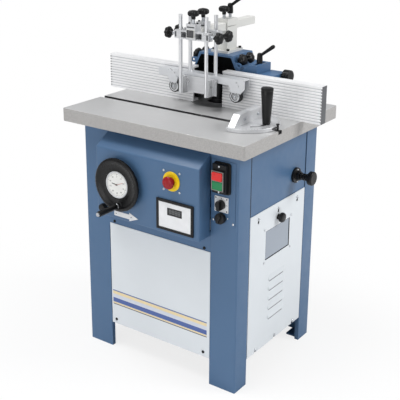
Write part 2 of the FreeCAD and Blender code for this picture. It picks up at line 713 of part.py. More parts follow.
def rectangle(sketch, x_span, y_span):
    """Rectangle between two limits on each sketch axis."""
    (left, right), (low, high) = x_span, y_span
    outline(sketch, [(left, low), (right, low), (right, high), (left, high)])


def pad(body, sketch, length, backwards=False):
    """Pad a sketch."""
    feature = body.newObject("PartDesign::Pad", body.Name + "_pad")
    feature.Profile = sketch
    feature.Reversed = backwards
    bind(feature, "Length", length)
    return feature


def pocket(body, sketch, length, backwards=False):
    """Cut a sketch into the body."""
    feature = body.newObject("PartDesign::Pocket", body.Name + "_pocket")
    feature.Profile = sketch
    feature.Reversed = backwards
    bind(feature, "Length", length)
    return feature


def row_of(body, feature, role, spacing, count):
    """Repeat a feature along one of the body's axes."""
    pattern = body.newObject("PartDesign::LinearPattern", body.Name + "_row")
    pattern.Originals = [feature]
    pattern.Direction = (origin_feature(body, role), [""])
    pattern.Occurrences = count
    bind(pattern, "Length", spacing * (count - 1))
    body.Tip = pattern
    return pattern


def circle_of(body, feature, count):
    """Repeat a feature around the body's own Z axis."""
    pattern = body.newObject("PartDesign::PolarPattern", body.Name + "_circle")
    pattern.Originals = [feature]
    pattern.Axis = (origin_feature(body, "Z_Axis"), [""])
    pattern.Angle = FULL_TURN
    pattern.Occurrences = count
    body.Tip = pattern
    return pattern


def turned(name, profile, x, y, z, direction="+z"):
    """Body turned from a profile of (radius, distance along the axis) corners."""
    body = new_body(name)
    sketch = new_sketch(body, "XZ_Plane", 0)
    outline(sketch, profile)
    feature = body.newObject("PartDesign::Revolution", name + "_turn")
    feature.Profile = sketch
    feature.ReferenceAxis = (sketch, ["V_Axis"])
    feature.Angle = FULL_TURN
    place(body, x, y, z, direction)
    return body


def prism(name, plane, points, start, end):
    """Body with a straight outline padded between two places along a plane's normal.

    The XZ plane looks along -Y, so its places are given as Y and change sign here.
    """
    body = new_body(name)
    if plane == "XZ_Plane":
        sketch = new_sketch(body, plane, -start)
        outline(sketch, points)
        pad(body, sketch, end - start, backwards=True)
        return body
    sketch = new_sketch(body, plane, start)
    outline(sketch, points)
    pad(body, sketch, end - start)
    return body


# Places that several sub-parts share
stand_front = -d.stand_half_y
leg_height = d.table_height - d.table_thick
table_hollow_top = d.table_height - d.table_plate
console_y = stand_front - d.console_proud
rail_inner_x = d.stand_half_x - d.leg_face
rail_inner_y = d.stand_half_y - d.leg_side
cover_seat_x = d.stand_half_x - d.panel_sheet
door_seat_x = cover_seat_x - d.slide_gap
upper_cover_x = d.stand_half_x - d.panel_recess
upper_cover_bottom = h.door_top + d.door_gap
anchor_x = d.stand_half_x - d.leg_sheet - d.foot_side / 2
anchor_y = d.stand_half_y - d.leg_sheet - d.foot_side / 2
sliding_foot = d.table_height + d.slide_gap
fence_back = d.fence_front + d.fence_thick
tube_bottom = h.tube_z - d.tube_height / 2
tube_top = h.tube_z + d.tube_height / 2
pulley_top = h.pulley_bottom + d.pulley_step * 2


def both(half):
    """Span from minus to plus a half width."""
    return (-half, half)


def around(centre, half):
    """Span about a centre."""
    return (centre - half, centre + half)


def build_stand():
    """Welded stand: four folded legs with foot plates, joined by rails."""
    outer_x = d.stand_half_x
    outer_y = stand_front
    inner_x = outer_x - d.leg_sheet
    inner_y = outer_y + d.leg_sheet
    side_end = outer_y + d.leg_side
    face_end = outer_x - d.leg_face
    section = [
        (outer_x, outer_y),
        (outer_x, side_end),
        (outer_x - d.leg_return, side_end),
        (outer_x - d.leg_return, side_end - d.leg_sheet),
        (inner_x, side_end - d.leg_sheet),
        (inner_x, inner_y),
        (face_end + d.leg_sheet, inner_y),
        (face_end + d.leg_sheet, outer_y + d.leg_return),
        (face_end, outer_y + d.leg_return),
        (face_end, outer_y),
    ]
    leg = prism("leg", "XY_Plane", section, size(0), leg_height)
    foot = block(
        "foot",
        (inner_x - d.foot_side, inner_x),
        (inner_y, inner_y + d.foot_side),
        (size(0), d.foot_thick),
    )
    hole = rod("foot_hole", "z", d.anchor_radius, size(0), d.foot_thick, (anchor_x, -anchor_y))
    front_right = join("front_right", leg, carve("foot_drilled", foot, hole))
    front_left = mirror("front_left", front_right, "x")
    rear_right = mirror("rear_right", front_right, "y")
    rear_left = mirror("rear_left", front_left, "y")
    low = (d.low_rail_bottom, d.low_rail_top)
    high = (leg_height - d.top_rail_height, leg_height)
    front_rail = (stand_front, stand_front + d.rail_depth)
    back_rail = (d.stand_half_y - d.rail_depth, d.stand_half_y)
    right_rail = (door_seat_x - d.rail_depth, door_seat_x)
    left_rail = (-cover_seat_x, d.rail_depth - cover_seat_x)
    across = both(rail_inner_x)
    along = both(rail_inner_y)
    rails = [
        block("front_mid_rail", across, front_rail, (h.mid_rail_bottom, h.mid_rail_top)),
        block("door_rail", right_rail, along, (h.door_rail_bottom, upper_cover_bottom)),
    ]
    upper_seat = upper_cover_x - d.panel_sheet
    upper_rail = (upper_seat - d.rail_depth, upper_seat)
    for level, span, right_span in (("low", low, right_rail), ("high", high, upper_rail)):
        rails.append(block(level + "_front_rail", across, front_rail, span))
        rails.append(block(level + "_back_rail", across, back_rail, span))
        rails.append(block(level + "_right_rail", right_span, along, span))
        rails.append(block(level + "_left_rail", left_rail, along, span))
    keep("stand", gather("stand", front_right, front_left, rear_right, rear_left, *rails))


def build_covers():
    """Front, back, left and upper right cover sheets."""
    front = (stand_front - d.panel_sheet, stand_front)
    back = (d.stand_half_y, d.stand_half_y + d.panel_sheet)
    right = (upper_cover_x - d.panel_sheet, upper_cover_x)
    left = (-d.stand_half_x, -cover_seat_x)
    along = both(rail_inner_y)
    front_span = (d.front_panel_bottom, h.front_panel_top)
    keep("front_panel", block("front_panel", both(d.front_panel_half), front, front_span))
    keep(
        "rear_panel",
        block("rear_panel", both(d.back_panel_half), back, (d.cover_bottom, leg_height)),
    )
    keep("left_panel", block("left_panel", left, along, (d.cover_bottom, leg_height)))
    sheet_right = block("right_sheet", right, along, (upper_cover_bottom, leg_height))
    hole = rod(
        "tension_hole", "x", d.tension_shaft_radius + d.run_gap, *right, (d.tension_y, h.tension_z)
    )
    keep("right_panel", carve("right_panel", sheet_right, hole))


def build_screws():
    """Round-head cover screws, all alike, with the shanks that the door hangs on."""
    heads = []
    panel_y = stand_front - d.panel_sheet
    spots = []
    for side in (-1, 1):
        spots.append((side * d.front_screw_x, d.front_screw_low, panel_y))
        spots.append((side * d.front_screw_x, h.front_screw_high, stand_front))
        for level in (-1, 1):
            x = d.stop_x + side * d.stop_screw_pitch / 2
            z = h.stop_z + level * d.stop_screw_pitch / 2
            spots.append((x, z, console_y))
    for index, (x, z, seat) in enumerate(spots):
        heads.append(
            rod(f"front_screw_{index}", "y", d.screw_head, seat - d.screw_height, seat, (x, z))
        )
    seat = d.stand_half_x + d.slide_gap
    for column in (-1, 0, 1):
        for level, z in (("low", d.door_screw_low), ("high", h.door_screw_high)):
            centre = (column * d.door_screw_pitch, z)
            name = f"door_screw_{level}_{column + 1}"
            head = rod(name + "_head", "x", d.screw_head, seat, seat + d.screw_height, centre)
            shank = rod(name + "_shank", "x", d.screw_shank, door_seat_x, seat, centre)
            heads.append(join(name, head, shank))
    keep("cover_screws", gather("cover_screws", *heads))


def build_side_door():
    """Lift-off side door with keyholes, louvres, a window opening and a pull knob."""
    skin = (cover_seat_x, d.stand_half_x)
    sheet_door = block("door_sheet", skin, both(d.door_half), (d.door_bottom, h.door_top))
    cuts = []
    opening = (h.window_bottom, h.window_top)
    cuts.append(block("window_opening", skin, both(d.window_half), opening))
    window_screws = [
        (side * (d.window_half + d.window_screw_inset), z)
        for side in (-1, 1)
        for z in (h.window_bottom - d.window_screw_inset, h.window_top + d.window_screw_inset)
    ]
    for index, spot in enumerate(window_screws):
        wide = d.window_screw_shank + d.window_screw_gap
        cuts.append(rod(f"window_screw_hole_{index}", "x", wide, *skin, spot))
    slot_half = d.screw_shank + d.slide_gap
    for column in (-1, 0, 1):
        for level, z in (("low", d.door_screw_low), ("high", h.door_screw_high)):
            y = column * d.door_screw_pitch
            name = f"keyhole_{level}_{column + 1}"
            cuts.append(rod(name + "_top", "x", slot_half, *skin, (y, z)))
            cuts.append(block(name + "_slot", skin, around(y, slot_half), (z - d.key_travel, z)))
            wide = d.screw_head + d.key_gap
            cuts.append(rod(name + "_hole", "x", wide, *skin, (y, z - d.key_travel)))
    face = d.stand_half_x
    louvre_pitch = (h.window_bottom - d.door_bottom) / LOUVRE_PARTS
    louvre_first = d.door_bottom + louvre_pitch * LOUVRE_LOWEST - d.louvre_drop
    louvres = prism(
        "louvres",
        "XZ_Plane",
        [
            (face, louvre_first + d.louvre_height),
            (face, louvre_first + d.louvre_height - d.louvre_wall),
            (face + d.louvre_proud - d.louvre_wall, louvre_first),
            (face + d.louvre_proud, louvre_first),
        ],
        -d.louvre_half,
        d.louvre_half,
    )
    row_of(louvres, louvres.Tip, "Z_Axis", louvre_pitch, LOUVRE_COUNT)
    neck_end = d.stand_half_x + d.door_knob_neck
    centre = (size(0), h.door_knob_z)
    neck = rod("pull_neck", "x", d.door_knob_neck_radius, d.stand_half_x, neck_end, centre)
    pull = rod("pull_head", "x", d.door_knob_radius, neck_end, neck_end + d.door_knob_length, centre)
    keep("side_door", join("side_door", carve("door_cut", sheet_door, *cuts), louvres, neck, pull))
    inside = (cover_seat_x - d.panel_sheet, cover_seat_x)
    pane = block(
        "window_pane",
        inside,
        both(d.window_half + d.window_lap),
        (h.window_bottom - d.window_lap, h.window_top + d.window_lap),
    )
    screws = []
    for index, spot in enumerate(window_screws):
        name = f"window_screw_{index}"
        top = d.stand_half_x + d.window_screw_height
        screws.append(rod(name + "_shank", "x", d.window_screw_shank, *skin, spot))
        screws.append(rod(name + "_head", "x", d.window_screw_head, d.stand_half_x, top, spot))
    keep("door_window", join("door_window", pane, *screws))


def build_table():
    """Cast table with a hollow underside, a spindle opening and a mitre slot."""
    body = new_body("table")
    half = d.table_width / 2
    front = d.table_shift - d.table_depth / 2
    back = d.table_shift + d.table_depth / 2
    top = new_sketch(body, "XY_Plane", leg_height)
    rectangle(top, both(half), (front, back))
    base = pad(body, top, d.table_thick)
    doc.recompute()
    upright = [
        f"Edge{index}"
        for index, edge in enumerate(base.Shape.Edges, start=1)
        if abs(edge.tangentAt(edge.FirstParameter).z) > 1 - d.run_gap.value
    ]
    corners = body.newObject("PartDesign::Fillet", "table_corners")
    corners.Base = (base, upright)
    bind(corners, "Radius", d.table_corner)
    hollow = new_sketch(body, "XY_Plane", leg_height)
    rectangle(hollow, both(d.hollow_width / 2), both(d.hollow_depth / 2))
    pocket(body, hollow, d.table_thick - d.table_plate, backwards=True)
    opening = new_sketch(body, "XY_Plane", d.table_height)
    ring(opening, 0, d.spindle_y, d.spindle_hole_radius)
    pocket(body, opening, d.table_thick)
    slot = new_sketch(body, "YZ_Plane", half)
    rectangle(
        slot,
        around(d.slot_y, d.slot_width / 2),
        (d.table_height - d.slot_depth, d.table_height + d.slot_depth),
    )
    pocket(body, slot, d.table_width)
    keep("table", body)


def build_console():
    """Folded console with a sloping top, open at the back."""
    body = new_body("console")
    rise = h.console_back_top - h.console_front_top
    slope = rise / d.console_proud
    drop = d.console_sheet * (1 + slope * slope).root()
    inside_y = console_y + d.console_sheet
    inside_front = h.console_front_top + d.console_sheet * slope - drop
    inside_back = h.console_back_top - drop
    outer = new_sketch(body, "YZ_Plane", -d.console_half)
    outline(
        outer,
        [
            (console_y, h.console_bottom),
            (stand_front, h.console_bottom),
            (stand_front, h.console_back_top),
            (console_y, h.console_front_top),
        ],
    )
    pad(body, outer, d.console_half * 2)
    inner = new_sketch(body, "YZ_Plane", d.console_half - d.console_sheet)
    outline(
        inner,
        [
            (inside_y, h.console_bottom + d.console_sheet),
            (stand_front, h.console_bottom + d.console_sheet),
            (stand_front, inside_back),
            (inside_y, inside_front),
        ],
    )
    pocket(body, inner, (d.console_half - d.console_sheet) * 2)
    holes = new_sketch(body, "XZ_Plane", -console_y)
    ring(holes, d.wheel_x, h.wheel_z, d.wheel_shaft_radius + d.run_gap)
    ring(holes, d.lock_x, h.lock_z, d.lock_stem_radius + d.run_gap)
    ring(holes, d.stop_x, h.stop_z, d.stop_stem_radius + d.run_gap)
    pocket(body, holes, d.console_sheet)
    keep("console", body)


def build_display():
    """Digit display: raised frame and a face plate with a recessed window."""
    frame_y = (console_y - d.display_proud, console_y)
    face_y = (console_y - d.display_face_proud, console_y)
    span_x = (d.display_left + d.display_border, d.display_right - d.display_border)
    span_z = (h.display_bottom + d.display_border, h.display_top - d.display_border)
    outer = block(
        "display_outer",
        (d.display_left, d.display_right),
        frame_y,
        (h.display_bottom, h.display_top),
    )
    inner = block("display_inner", span_x, frame_y, span_z)
    keep("display_frame", carve("display_frame", outer, inner))
    plate = block("display_plate", span_x, face_y, span_z)
    middle_x = (span_x[0] + span_x[1]) / 2
    middle_z = (span_z[0] + span_z[1]) / 2 + d.screen_rise
    screen = block(
        "screen",
        around(middle_x, d.screen_width / 2),
        (face_y[0], face_y[0] + d.screen_depth),
        around(middle_z, d.screen_height / 2),
    )
    keep("display_face", carve("display_face", plate, screen))


def build_emergency_stop():
    """Yellow disc and red mushroom button."""
    disc = rod(
        "stop_disc_blank",
        "y",
        d.stop_disc_radius,
        console_y - d.stop_disc_thick,
        console_y,
        (d.stop_x, h.stop_z),
    )
    hole = rod(
        "stop_disc_hole",
        "y",
        d.stop_stem_radius + d.run_gap,
        console_y - d.stop_disc_thick,
        console_y,
        (d.stop_x, h.stop_z),
    )
    keep("stop_disc", carve("stop_disc", disc, hole))
    rim = d.stop_stand_off + d.stop_head_rim
    crown = rim + d.stop_head_dome
    profile = [
        (0, -d.stop_tail),
        (d.stop_stem_radius, -d.stop_tail),
        (d.stop_stem_radius, d.stop_stand_off),
        (d.stop_head_radius, d.stop_stand_off),
        (d.stop_head_radius, rim),
        (d.stop_head_radius - d.stop_head_rim, crown - d.stop_head_dome / 4),
        (d.stop_head_radius / 2, crown),
        (0, crown),
    ]
    mushroom = turned("stop_mushroom", profile, d.stop_x, console_y, h.stop_z, "-y")
    keep("emergency_stop", mushroom)


def build_switches():
    """Start and stop buttons in a housing, a rotary selector and an isolator on the leg."""
    plate_y = (stand_front - d.panel_sheet, stand_front)
    face = plate_y[0]
    plate = block(
        "control_blank",
        (d.control_left, d.control_right),
        plate_y,
        (h.control_bottom, h.control_top),
    )
    centre_x = d.control_x
    keep("control_plate", plate)
    housing_front = face - d.switch_depth
    housing = block(
        "switch_blank",
        around(centre_x, d.switch_width / 2),
        (housing_front, face),
        (h.switch_bottom, h.switch_top),
    )
    wells = []
    for name, z in (("stop", h.stop_button_z), ("start", h.start_button_z)):
        well = block(
            name + "_well",
            around(centre_x, d.button_width / 2 + d.slide_gap),
            (housing_front, housing_front + d.button_seat + d.button_room),
            around(z, d.button_height / 2 + d.slide_gap),
        )
        wells.append(well)
        body = new_body(name + "_cap")
        left, right = around(centre_x, d.button_width / 2)
        low, high = around(z, d.button_height / 2)
        cut = d.button_corner
        front = new_sketch(body, "XZ_Plane", d.button_proud - housing_front)
        outline(
            front,
            [
                (left + cut, low),
                (right - cut, low),
                (right, low + cut),
                (right, high - cut),
                (right - cut, high),
                (left + cut, high),
                (left, high - cut),
                (left, low + cut),
            ],
        )
        pad(body, front, d.button_proud + d.button_seat, backwards=True)
        keep(name + "_button", body)
    isolator = rod(
        "isolator", "y", d.isolator_radius, face - d.isolator_depth, face, (centre_x, h.isolator_z)
    )
    keep("switch_housing", gather("switchgear", carve("switch_box", housing, *wells), isolator))
    selector_y = (face - d.selector_thick, face)
    middle_z = (h.selector_bottom + h.selector_top) / 2
    selector = block(
        "selector_blank",
        around(centre_x, d.switch_width / 2),
        selector_y,
        (h.selector_bottom, h.selector_top),
    )
    stem_radius = d.selector_stem + d.run_gap
    stem_hole = rod("selector_hole", "y", stem_radius, *selector_y, (centre_x, middle_z))
    keep("selector_plate", carve("selector_plate", selector, stem_hole))
    skirt_back = selector_y[0] - d.slide_gap
    skirt_front = skirt_back - d.selector_length
    skirt = rod("selector_skirt", "y", d.selector_radius, skirt_front, skirt_back, (centre_x, middle_z))
    grip = block(
        "selector_grip",
        around(centre_x, d.selector_grip_width / 2),
        (skirt_front - d.selector_grip, skirt_front),
        around(middle_z, d.selector_radius),
    )
    stem = rod(
        "selector_stem", "y", d.selector_stem, skirt_back, face - d.slide_gap, (centre_x, middle_z)
    )
    keep("selector_knob", join("selector_knob", skirt, grip, stem))


def build_tension_handle():
    """Belt tension handle: fixed flange with a boss, and a turning knob on a shaft."""
    boss_end = d.tension_flange_thick + d.tension_boss_length
    bore = d.tension_shaft_radius + d.run_gap
    flange = turned(
        "tension_flange_turned",
        [
            (bore, 0),
            (d.tension_flange_radius, 0),
            (d.tension_flange_radius, d.tension_flange_thick),
            (d.tension_boss_radius, d.tension_flange_thick),
            (d.tension_boss_radius, boss_end),
            (bore, boss_end),
        ],
        upper_cover_x,
        d.tension_y,
        h.tension_z,
        "+x",
    )
    keep("tension_flange", flange)
    knob_start = boss_end + d.tension_shaft_length
    knob_end = knob_start + d.tension_knob_length
    knob = turned(
        "tension_knob_turned",
        [
            (0, -d.tension_tail),
            (d.tension_shaft_radius, -d.tension_tail),
            (d.tension_shaft_radius, knob_start),
            (d.tension_knob_radius - d.tension_knob_edge, knob_start),
            (d.tension_knob_radius, knob_start + d.tension_knob_edge),
            (d.tension_knob_radius, knob_end - d.tension_knob_edge),
            (d.tension_knob_radius - d.tension_knob_edge, knob_end),
            (0, knob_end),
        ],
        upper_cover_x,
        d.tension_y,
        h.tension_z,
        "+x",
    )
    keep("tension_knob", knob)


def build_handwheel():
    """Dished handwheel on a shaft that ends in a bevel gear, its dial and its crank handle."""
    hub_front = d.wheel_back + d.wheel_hub_length
    rim_back = hub_front + d.wheel_rim_back
    rim_front = rim_back + d.wheel_rim_depth
    seat = hub_front + d.dial_floor
    gear_apex = d.screw_y - console_y
    gear_back = -(gear_apex - d.bevel_cone)
    gear_front = gear_back - d.bevel_face
    tooth_root = d.bevel_cone - d.bevel_gap
    wheel = turned(
        "handwheel_turned",
        [
            (0, gear_front),
            (tooth_root - d.bevel_face, gear_front),
            (tooth_root, gear_back),
            (d.bevel_hub_radius, gear_back),
            (d.bevel_hub_radius, gear_back + d.bevel_hub_length),
            (d.wheel_shaft_radius, gear_back + d.bevel_hub_length),
            (d.wheel_shaft_radius, d.wheel_back),
            (d.wheel_hub_radius, d.wheel_back),
            (d.wheel_hub_radius, hub_front),
            (d.wheel_disc_radius, hub_front + d.wheel_dish),
            (d.wheel_radius - d.wheel_edge, rim_back),
            (d.wheel_radius, rim_back + d.wheel_edge),
            (d.wheel_radius, rim_front - d.wheel_edge),
            (d.wheel_radius - d.wheel_edge, rim_front),
            (d.wheel_disc_radius + d.wheel_edge, rim_front),
            (d.wheel_disc_radius, hub_front + d.wheel_dish + d.dial_floor),
            (d.dial_radius, seat + d.dial_thick),
            (d.dial_radius, seat),
            (0, seat),
        ],
        d.wheel_x,
        console_y,
        h.wheel_z,
        "-y",
    )
    crank_x = d.wheel_x + d.crank_lean
    crank_z = h.wheel_z - d.crank_radius
    root_y = console_y - hub_front - d.wheel_dish
    shoulder_y = console_y - rim_front
    grip_back = shoulder_y - d.crank_washer
    grip_front = grip_back - d.slide_gap - d.crank_handle_length
    pin_front = grip_front - d.slide_gap
    centre = (crank_x, crank_z)
    pin = rod("crank_pin", "y", d.crank_pin_radius, pin_front, root_y, centre)
    shoulder = rod("crank_shoulder", "y", d.crank_head_radius, grip_back, root_y, centre)
    head_front = pin_front - d.crank_head_length
    head = rod("crank_head", "y", d.crank_head_radius, head_front, pin_front, centre)
    keep("handwheel", join("handwheel", wheel, pin, shoulder, head))
    dial = rod(
        "dial",
        "y",
        d.dial_radius,
        console_y - seat - d.dial_thick,
        console_y - seat,
        (d.wheel_x, h.wheel_z),
    )
    keep("dial", dial)
    sleeve = rod(
        "crank_sleeve", "y", d.crank_handle_radius, grip_front, grip_back - d.slide_gap, centre
    )
    bore = rod(
        "crank_bore",
        "y",
        d.crank_pin_radius + d.run_gap,
        grip_front,
        grip_back - d.slide_gap,
        centre,
    )
    keep("crank_handle", carve("crank_handle", sleeve, bore))


def build_lift_lock():
    """Small knob that locks the spindle height."""
    end = d.lock_neck + d.lock_length
    knob = turned(
        "lift_lock_turned",
        [
            (0, -d.lock_tail),
            (d.lock_stem_radius, -d.lock_tail),
            (d.lock_stem_radius, d.lock_neck),
            (d.lock_radius, d.lock_neck),
            (d.lock_radius, end - d.knob_edge),
            (d.lock_radius - d.knob_edge, end),
            (0, end),
        ],
        d.lock_x,
        console_y,
        h.lock_z,
        "-y",
    )
    keep("lift_lock_knob", knob)


def build_lift_screw():
    """Upright lift screw with a thrust collar and a bevel gear at its top."""
    gear_back = h.wheel_z - d.bevel_cone
    gear_top = gear_back + d.bevel_face
    tooth_root = d.bevel_cone - d.bevel_gap
    hub_bottom = gear_back - d.bevel_hub_length
    collar_bottom = h.way_bottom + d.way_arm_thick + d.slide_gap
    collar_top = collar_bottom + d.way_collar_length
    screw = turned(
        "lift_screw_turned",
        [
            (0, h.screw_bottom),
            (d.screw_radius, h.screw_bottom),
            (d.screw_radius, collar_bottom),
            (d.way_collar_radius, collar_bottom),
            (d.way_collar_radius, collar_top),
            (d.screw_radius, collar_top),
            (d.screw_radius, hub_bottom),
            (d.bevel_hub_radius, hub_bottom),
            (d.bevel_hub_radius, gear_back),
            (tooth_root, gear_back),
            (tooth_root - d.bevel_face, gear_top),
            (0, gear_top),
        ],
        d.wheel_x,
        d.screw_y,
        size(0),
    )
    keep("lift_screw", screw)


def build_slideway():
    """Slideway under the table, with the bearings of the lift screw and handwheel shaft."""
    back = d.way_front + d.way_thick
    plate = block(
        "way_plate", (d.way_left, d.way_right), (d.way_front, back), (h.way_bottom, table_hollow_top)
    )
    flange = block(
        "way_flange",
        (d.way_left, d.way_right),
        (back - d.way_flange, back),
        (table_hollow_top - d.way_flange_thick, table_hollow_top),
    )
    arm_x = (d.way_left, d.way_arm_right)
    arm_y = (d.way_arm_front, d.way_front)
    low_arm = (h.way_bottom, h.way_bottom + d.way_arm_thick)
    top_arm = (h.way_top_arm, h.way_top_arm + d.way_arm_thick)
    bearing_z = around(h.wheel_z, d.way_bearing_half)
    bearing_y = (d.way_side_front, d.way_side_front + d.way_bearing_length)
    side_x = (d.way_left, d.way_left + d.way_arm_thick)
    side = block("way_side", side_x, (d.way_side_front, d.way_front), (h.way_bottom, bearing_z[1]))
    bearing_right = d.wheel_x + d.way_bearing_half
    pieces = [
        plate,
        flange,
        block("way_low_arm", arm_x, arm_y, low_arm),
        block("way_top_arm", arm_x, arm_y, top_arm),
        side,
        block("way_bearing", (d.way_left, bearing_right), bearing_y, bearing_z),
    ]
    screw_radius = d.screw_radius + d.run_gap
    screw_spot = (d.wheel_x, d.screw_y)
    bores = [
        rod("way_low_bore", "z", screw_radius, *low_arm, screw_spot),
        rod("way_top_bore", "z", screw_radius, *top_arm, screw_spot),
        rod(
            "way_shaft_bore",
            "y",
            d.wheel_shaft_radius + d.run_gap,
            *bearing_y,
            (d.wheel_x, h.wheel_z),
        ),
    ]
    keep("slideway", carve("slideway", join("way_solid", *pieces), *bores))


def build_spindle_housing():
    """Sliding spindle housing with its web, lift nut arm and motor plate."""
    spindle = (size(0), d.spindle_y)
    barrel = rod("barrel", "z", d.quill_radius, h.quill_bottom, h.quill_top, spindle)
    web = block(
        "barrel_web",
        both(d.quill_web_half),
        (d.spindle_y, d.way_front - d.slide_gap),
        (h.quill_web_bottom, h.quill_web_top),
    )
    nut_z = (h.nut_bottom, h.nut_bottom + d.nut_height)
    arm = block(
        "nut_arm", (d.wheel_x - d.nut_half, size(0)), (d.screw_y - d.nut_half, d.spindle_y), nut_z
    )
    plate_half = d.motor_radius + d.motor_plate_margin
    plate_z = (h.quill_bottom, h.quill_bottom + d.motor_plate)
    plate = block(
        "motor_plate_blank",
        (size(0), d.motor_x + plate_half),
        around(d.motor_y, plate_half),
        plate_z,
    )
    bores = [
        rod(
            "barrel_bore", "z", d.spindle_radius + d.run_gap, h.quill_bottom, h.quill_top, spindle
        ),
        rod("nut_bore", "z", d.screw_radius + d.run_gap, *nut_z, (d.wheel_x, d.screw_y)),
        rod("plate_bore", "z", d.motor_plate_hole, *plate_z, (d.motor_x, d.motor_y)),
    ]
    solid = join("housing_solid", barrel, web, arm, plate)
    keep("spindle_housing", carve("spindle_housing", solid, *bores))


def build_motor():
    """Motor body on the motor plate, bored for its shaft."""
    base = h.quill_bottom + d.motor_plate
    top = base + d.motor_length
    bore = d.motor_shaft_radius + d.run_gap
    seat = base + d.motor_shaft_seat
    motor = turned(
        "motor_turned",
        [
            (bore, base),
            (d.motor_radius, base),
            (d.motor_radius, top),
            (d.motor_cap_radius, top),
            (d.motor_cap_radius, top + d.motor_cap),
            (0, top + d.motor_cap),
            (0, seat),
            (bore, seat),
        ],
        d.motor_x,
        d.motor_y,
        size(0),
    )
    keep("motor", motor)


def pulley_profile(slow, fast):
    """Outline of a two-step pulley, from its underside to its top."""
    middle = h.pulley_bottom + d.pulley_step
    lip = d.pulley_lip
    rise = d.pulley_lip_rise
    return [
        (0, h.pulley_bottom),
        (slow, h.pulley_bottom),
        (slow, middle - lip),
        (fast + rise, middle - lip) if slow.value < fast.value else (slow + rise, middle - lip),
        (fast + rise, middle + lip) if slow.value < fast.value else (slow + rise, middle),
        (fast, middle + lip),
        (fast, pulley_top - lip),
        (fast + rise, pulley_top - lip),
        (fast + rise, pulley_top),
    ]


def build_spindle():
    """Spindle with its pulley and arbor, the spacer rings and the clamp nut."""
    flange_top = h.flange_bottom + d.flange_thick
    profile = pulley_profile(d.spindle_slow_radius, d.spindle_fast_radius)
    profile += [
        (d.spindle_radius, pulley_top),
        (d.spindle_radius, h.flange_bottom),
        (d.flange_radius, h.flange_bottom),
        (d.flange_radius, flange_top),
        (d.arbor_radius, flange_top),
        (d.arbor_radius, h.arbor_top),
        (0, h.arbor_top),
    ]
    keep("spindle", turned("spindle_turned", profile, size(0), d.spindle_y, size(0)))
    rings = turned(
        "spacer_rings",
        [
            (d.arbor_radius, flange_top),
            (d.ring_radius, flange_top),
            (d.ring_radius, h.ring_top),
            (d.arbor_radius, h.ring_top),
        ],
        size(0),
        d.spindle_y,
        size(0),
    )
    cut_start = flange_top + d.ring_height
    groove = rings.newObject("PartDesign::Groove", "ring_groove")
    sketch = new_sketch(rings, "XZ_Plane", 0)
    rectangle(
        sketch,
        (d.ring_radius - d.ring_groove, d.ring_radius + d.ring_groove),
        (cut_start, cut_start + d.ring_groove),
    )
    groove.Profile = sketch
    groove.ReferenceAxis = (sketch, ["V_Axis"])
    groove.Angle = FULL_TURN
    rings.Tip = groove
    row_of(rings, groove, "Z_Axis", d.ring_height, 3)
    washer_top = h.clamp_bottom + d.clamp_washer
    washer = turned(
        "clamp_washer_turned",
        [
            (d.arbor_radius, h.clamp_bottom),
            (d.clamp_radius, h.clamp_bottom),
            (d.clamp_radius, washer_top),
            (d.arbor_radius, washer_top),
        ],
        size(0),
        d.spindle_y,
        size(0),
    )
    nut = doc.addObject("Part::Prism", "clamp_nut")
    nut.Polygon = NUT_SIDES
    across = 1 / math.cos(math.pi / NUT_SIDES)
    bind(nut, "Circumradius", d.clamp_nut_radius * across)
    bind(nut, "Height", h.clamp_nut_top - washer_top)
    place(nut, 0, d.spindle_y, washer_top)
    thread = rod(
        "nut_thread", "z", d.arbor_radius, washer_top, h.arbor_top, (size(0), d.spindle_y)
    )
    nut_cut = carve("clamp_nut_cut", nut, thread)
    keep("spacer_rings", gather("arbor_stack", rings, join("clamp_nut_washer", washer, nut_cut)))


def build_motor_pulley():
    """Motor shaft with its two-step pulley."""
    seat_top = h.quill_bottom + d.motor_plate + d.motor_shaft_seat - d.slide_gap
    profile = pulley_profile(d.motor_slow_radius, d.motor_fast_radius)
    profile += [
        (d.motor_shaft_radius, pulley_top),
        (d.motor_shaft_radius, seat_top),
        (0, seat_top),
    ]
    keep("motor_pulley", turned("motor_pulley_turned", profile, d.motor_x, d.motor_y, size(0)))


def build_belt():
    """Flat belt on the upper steps of both pulleys."""
    reach_x = d.motor_x
    reach_y = d.motor_y - d.spindle_y
    reach = (reach_x * reach_x + reach_y * reach_y).root()
    turn = (reach_y / reach_x).arc_tangent()
    bottom = pulley_top - d.pulley_step + (d.pulley_step - d.belt_width) / 2
    loops = []
    for name, grow in (("inner", d.slide_gap), ("outer", d.slide_gap + d.belt_thick)):
        near = d.spindle_fast_radius + grow
        far = d.motor_fast_radius + grow
        lean = (near - far) / reach
        square = (1 - lean * lean).root()
        sides = prism(
            "belt_" + name,
            "XY_Plane",
            [
                (near * lean, near * square),
                (near * lean, -(near * square)),
                (reach + far * lean, -(far * square)),
                (reach + far * lean, far * square),
            ],
            size(0),
            d.belt_width,
        )
        small = rod(f"belt_{name}_near", "z", near, size(0), d.belt_width, (size(0), size(0)))
        large = rod(f"belt_{name}_far", "z", far, size(0), d.belt_width, (reach, size(0)))
        loops.append(join(f"belt_{name}_loop", sides, small, large))
    belt = carve("belt", loops[1], loops[0])
    belt.Placement = FreeCAD.Placement(
        FreeCAD.Vector(), FreeCAD.Rotation(FreeCAD.Vector(0, 0, 1), turn.value)
    )
    bind(belt, "Placement.Rotation.Angle", turn)
    bind(belt, "Placement.Base.y", d.spindle_y)
    bind(belt, "Placement.Base.z", bottom)
    keep("belt", belt)


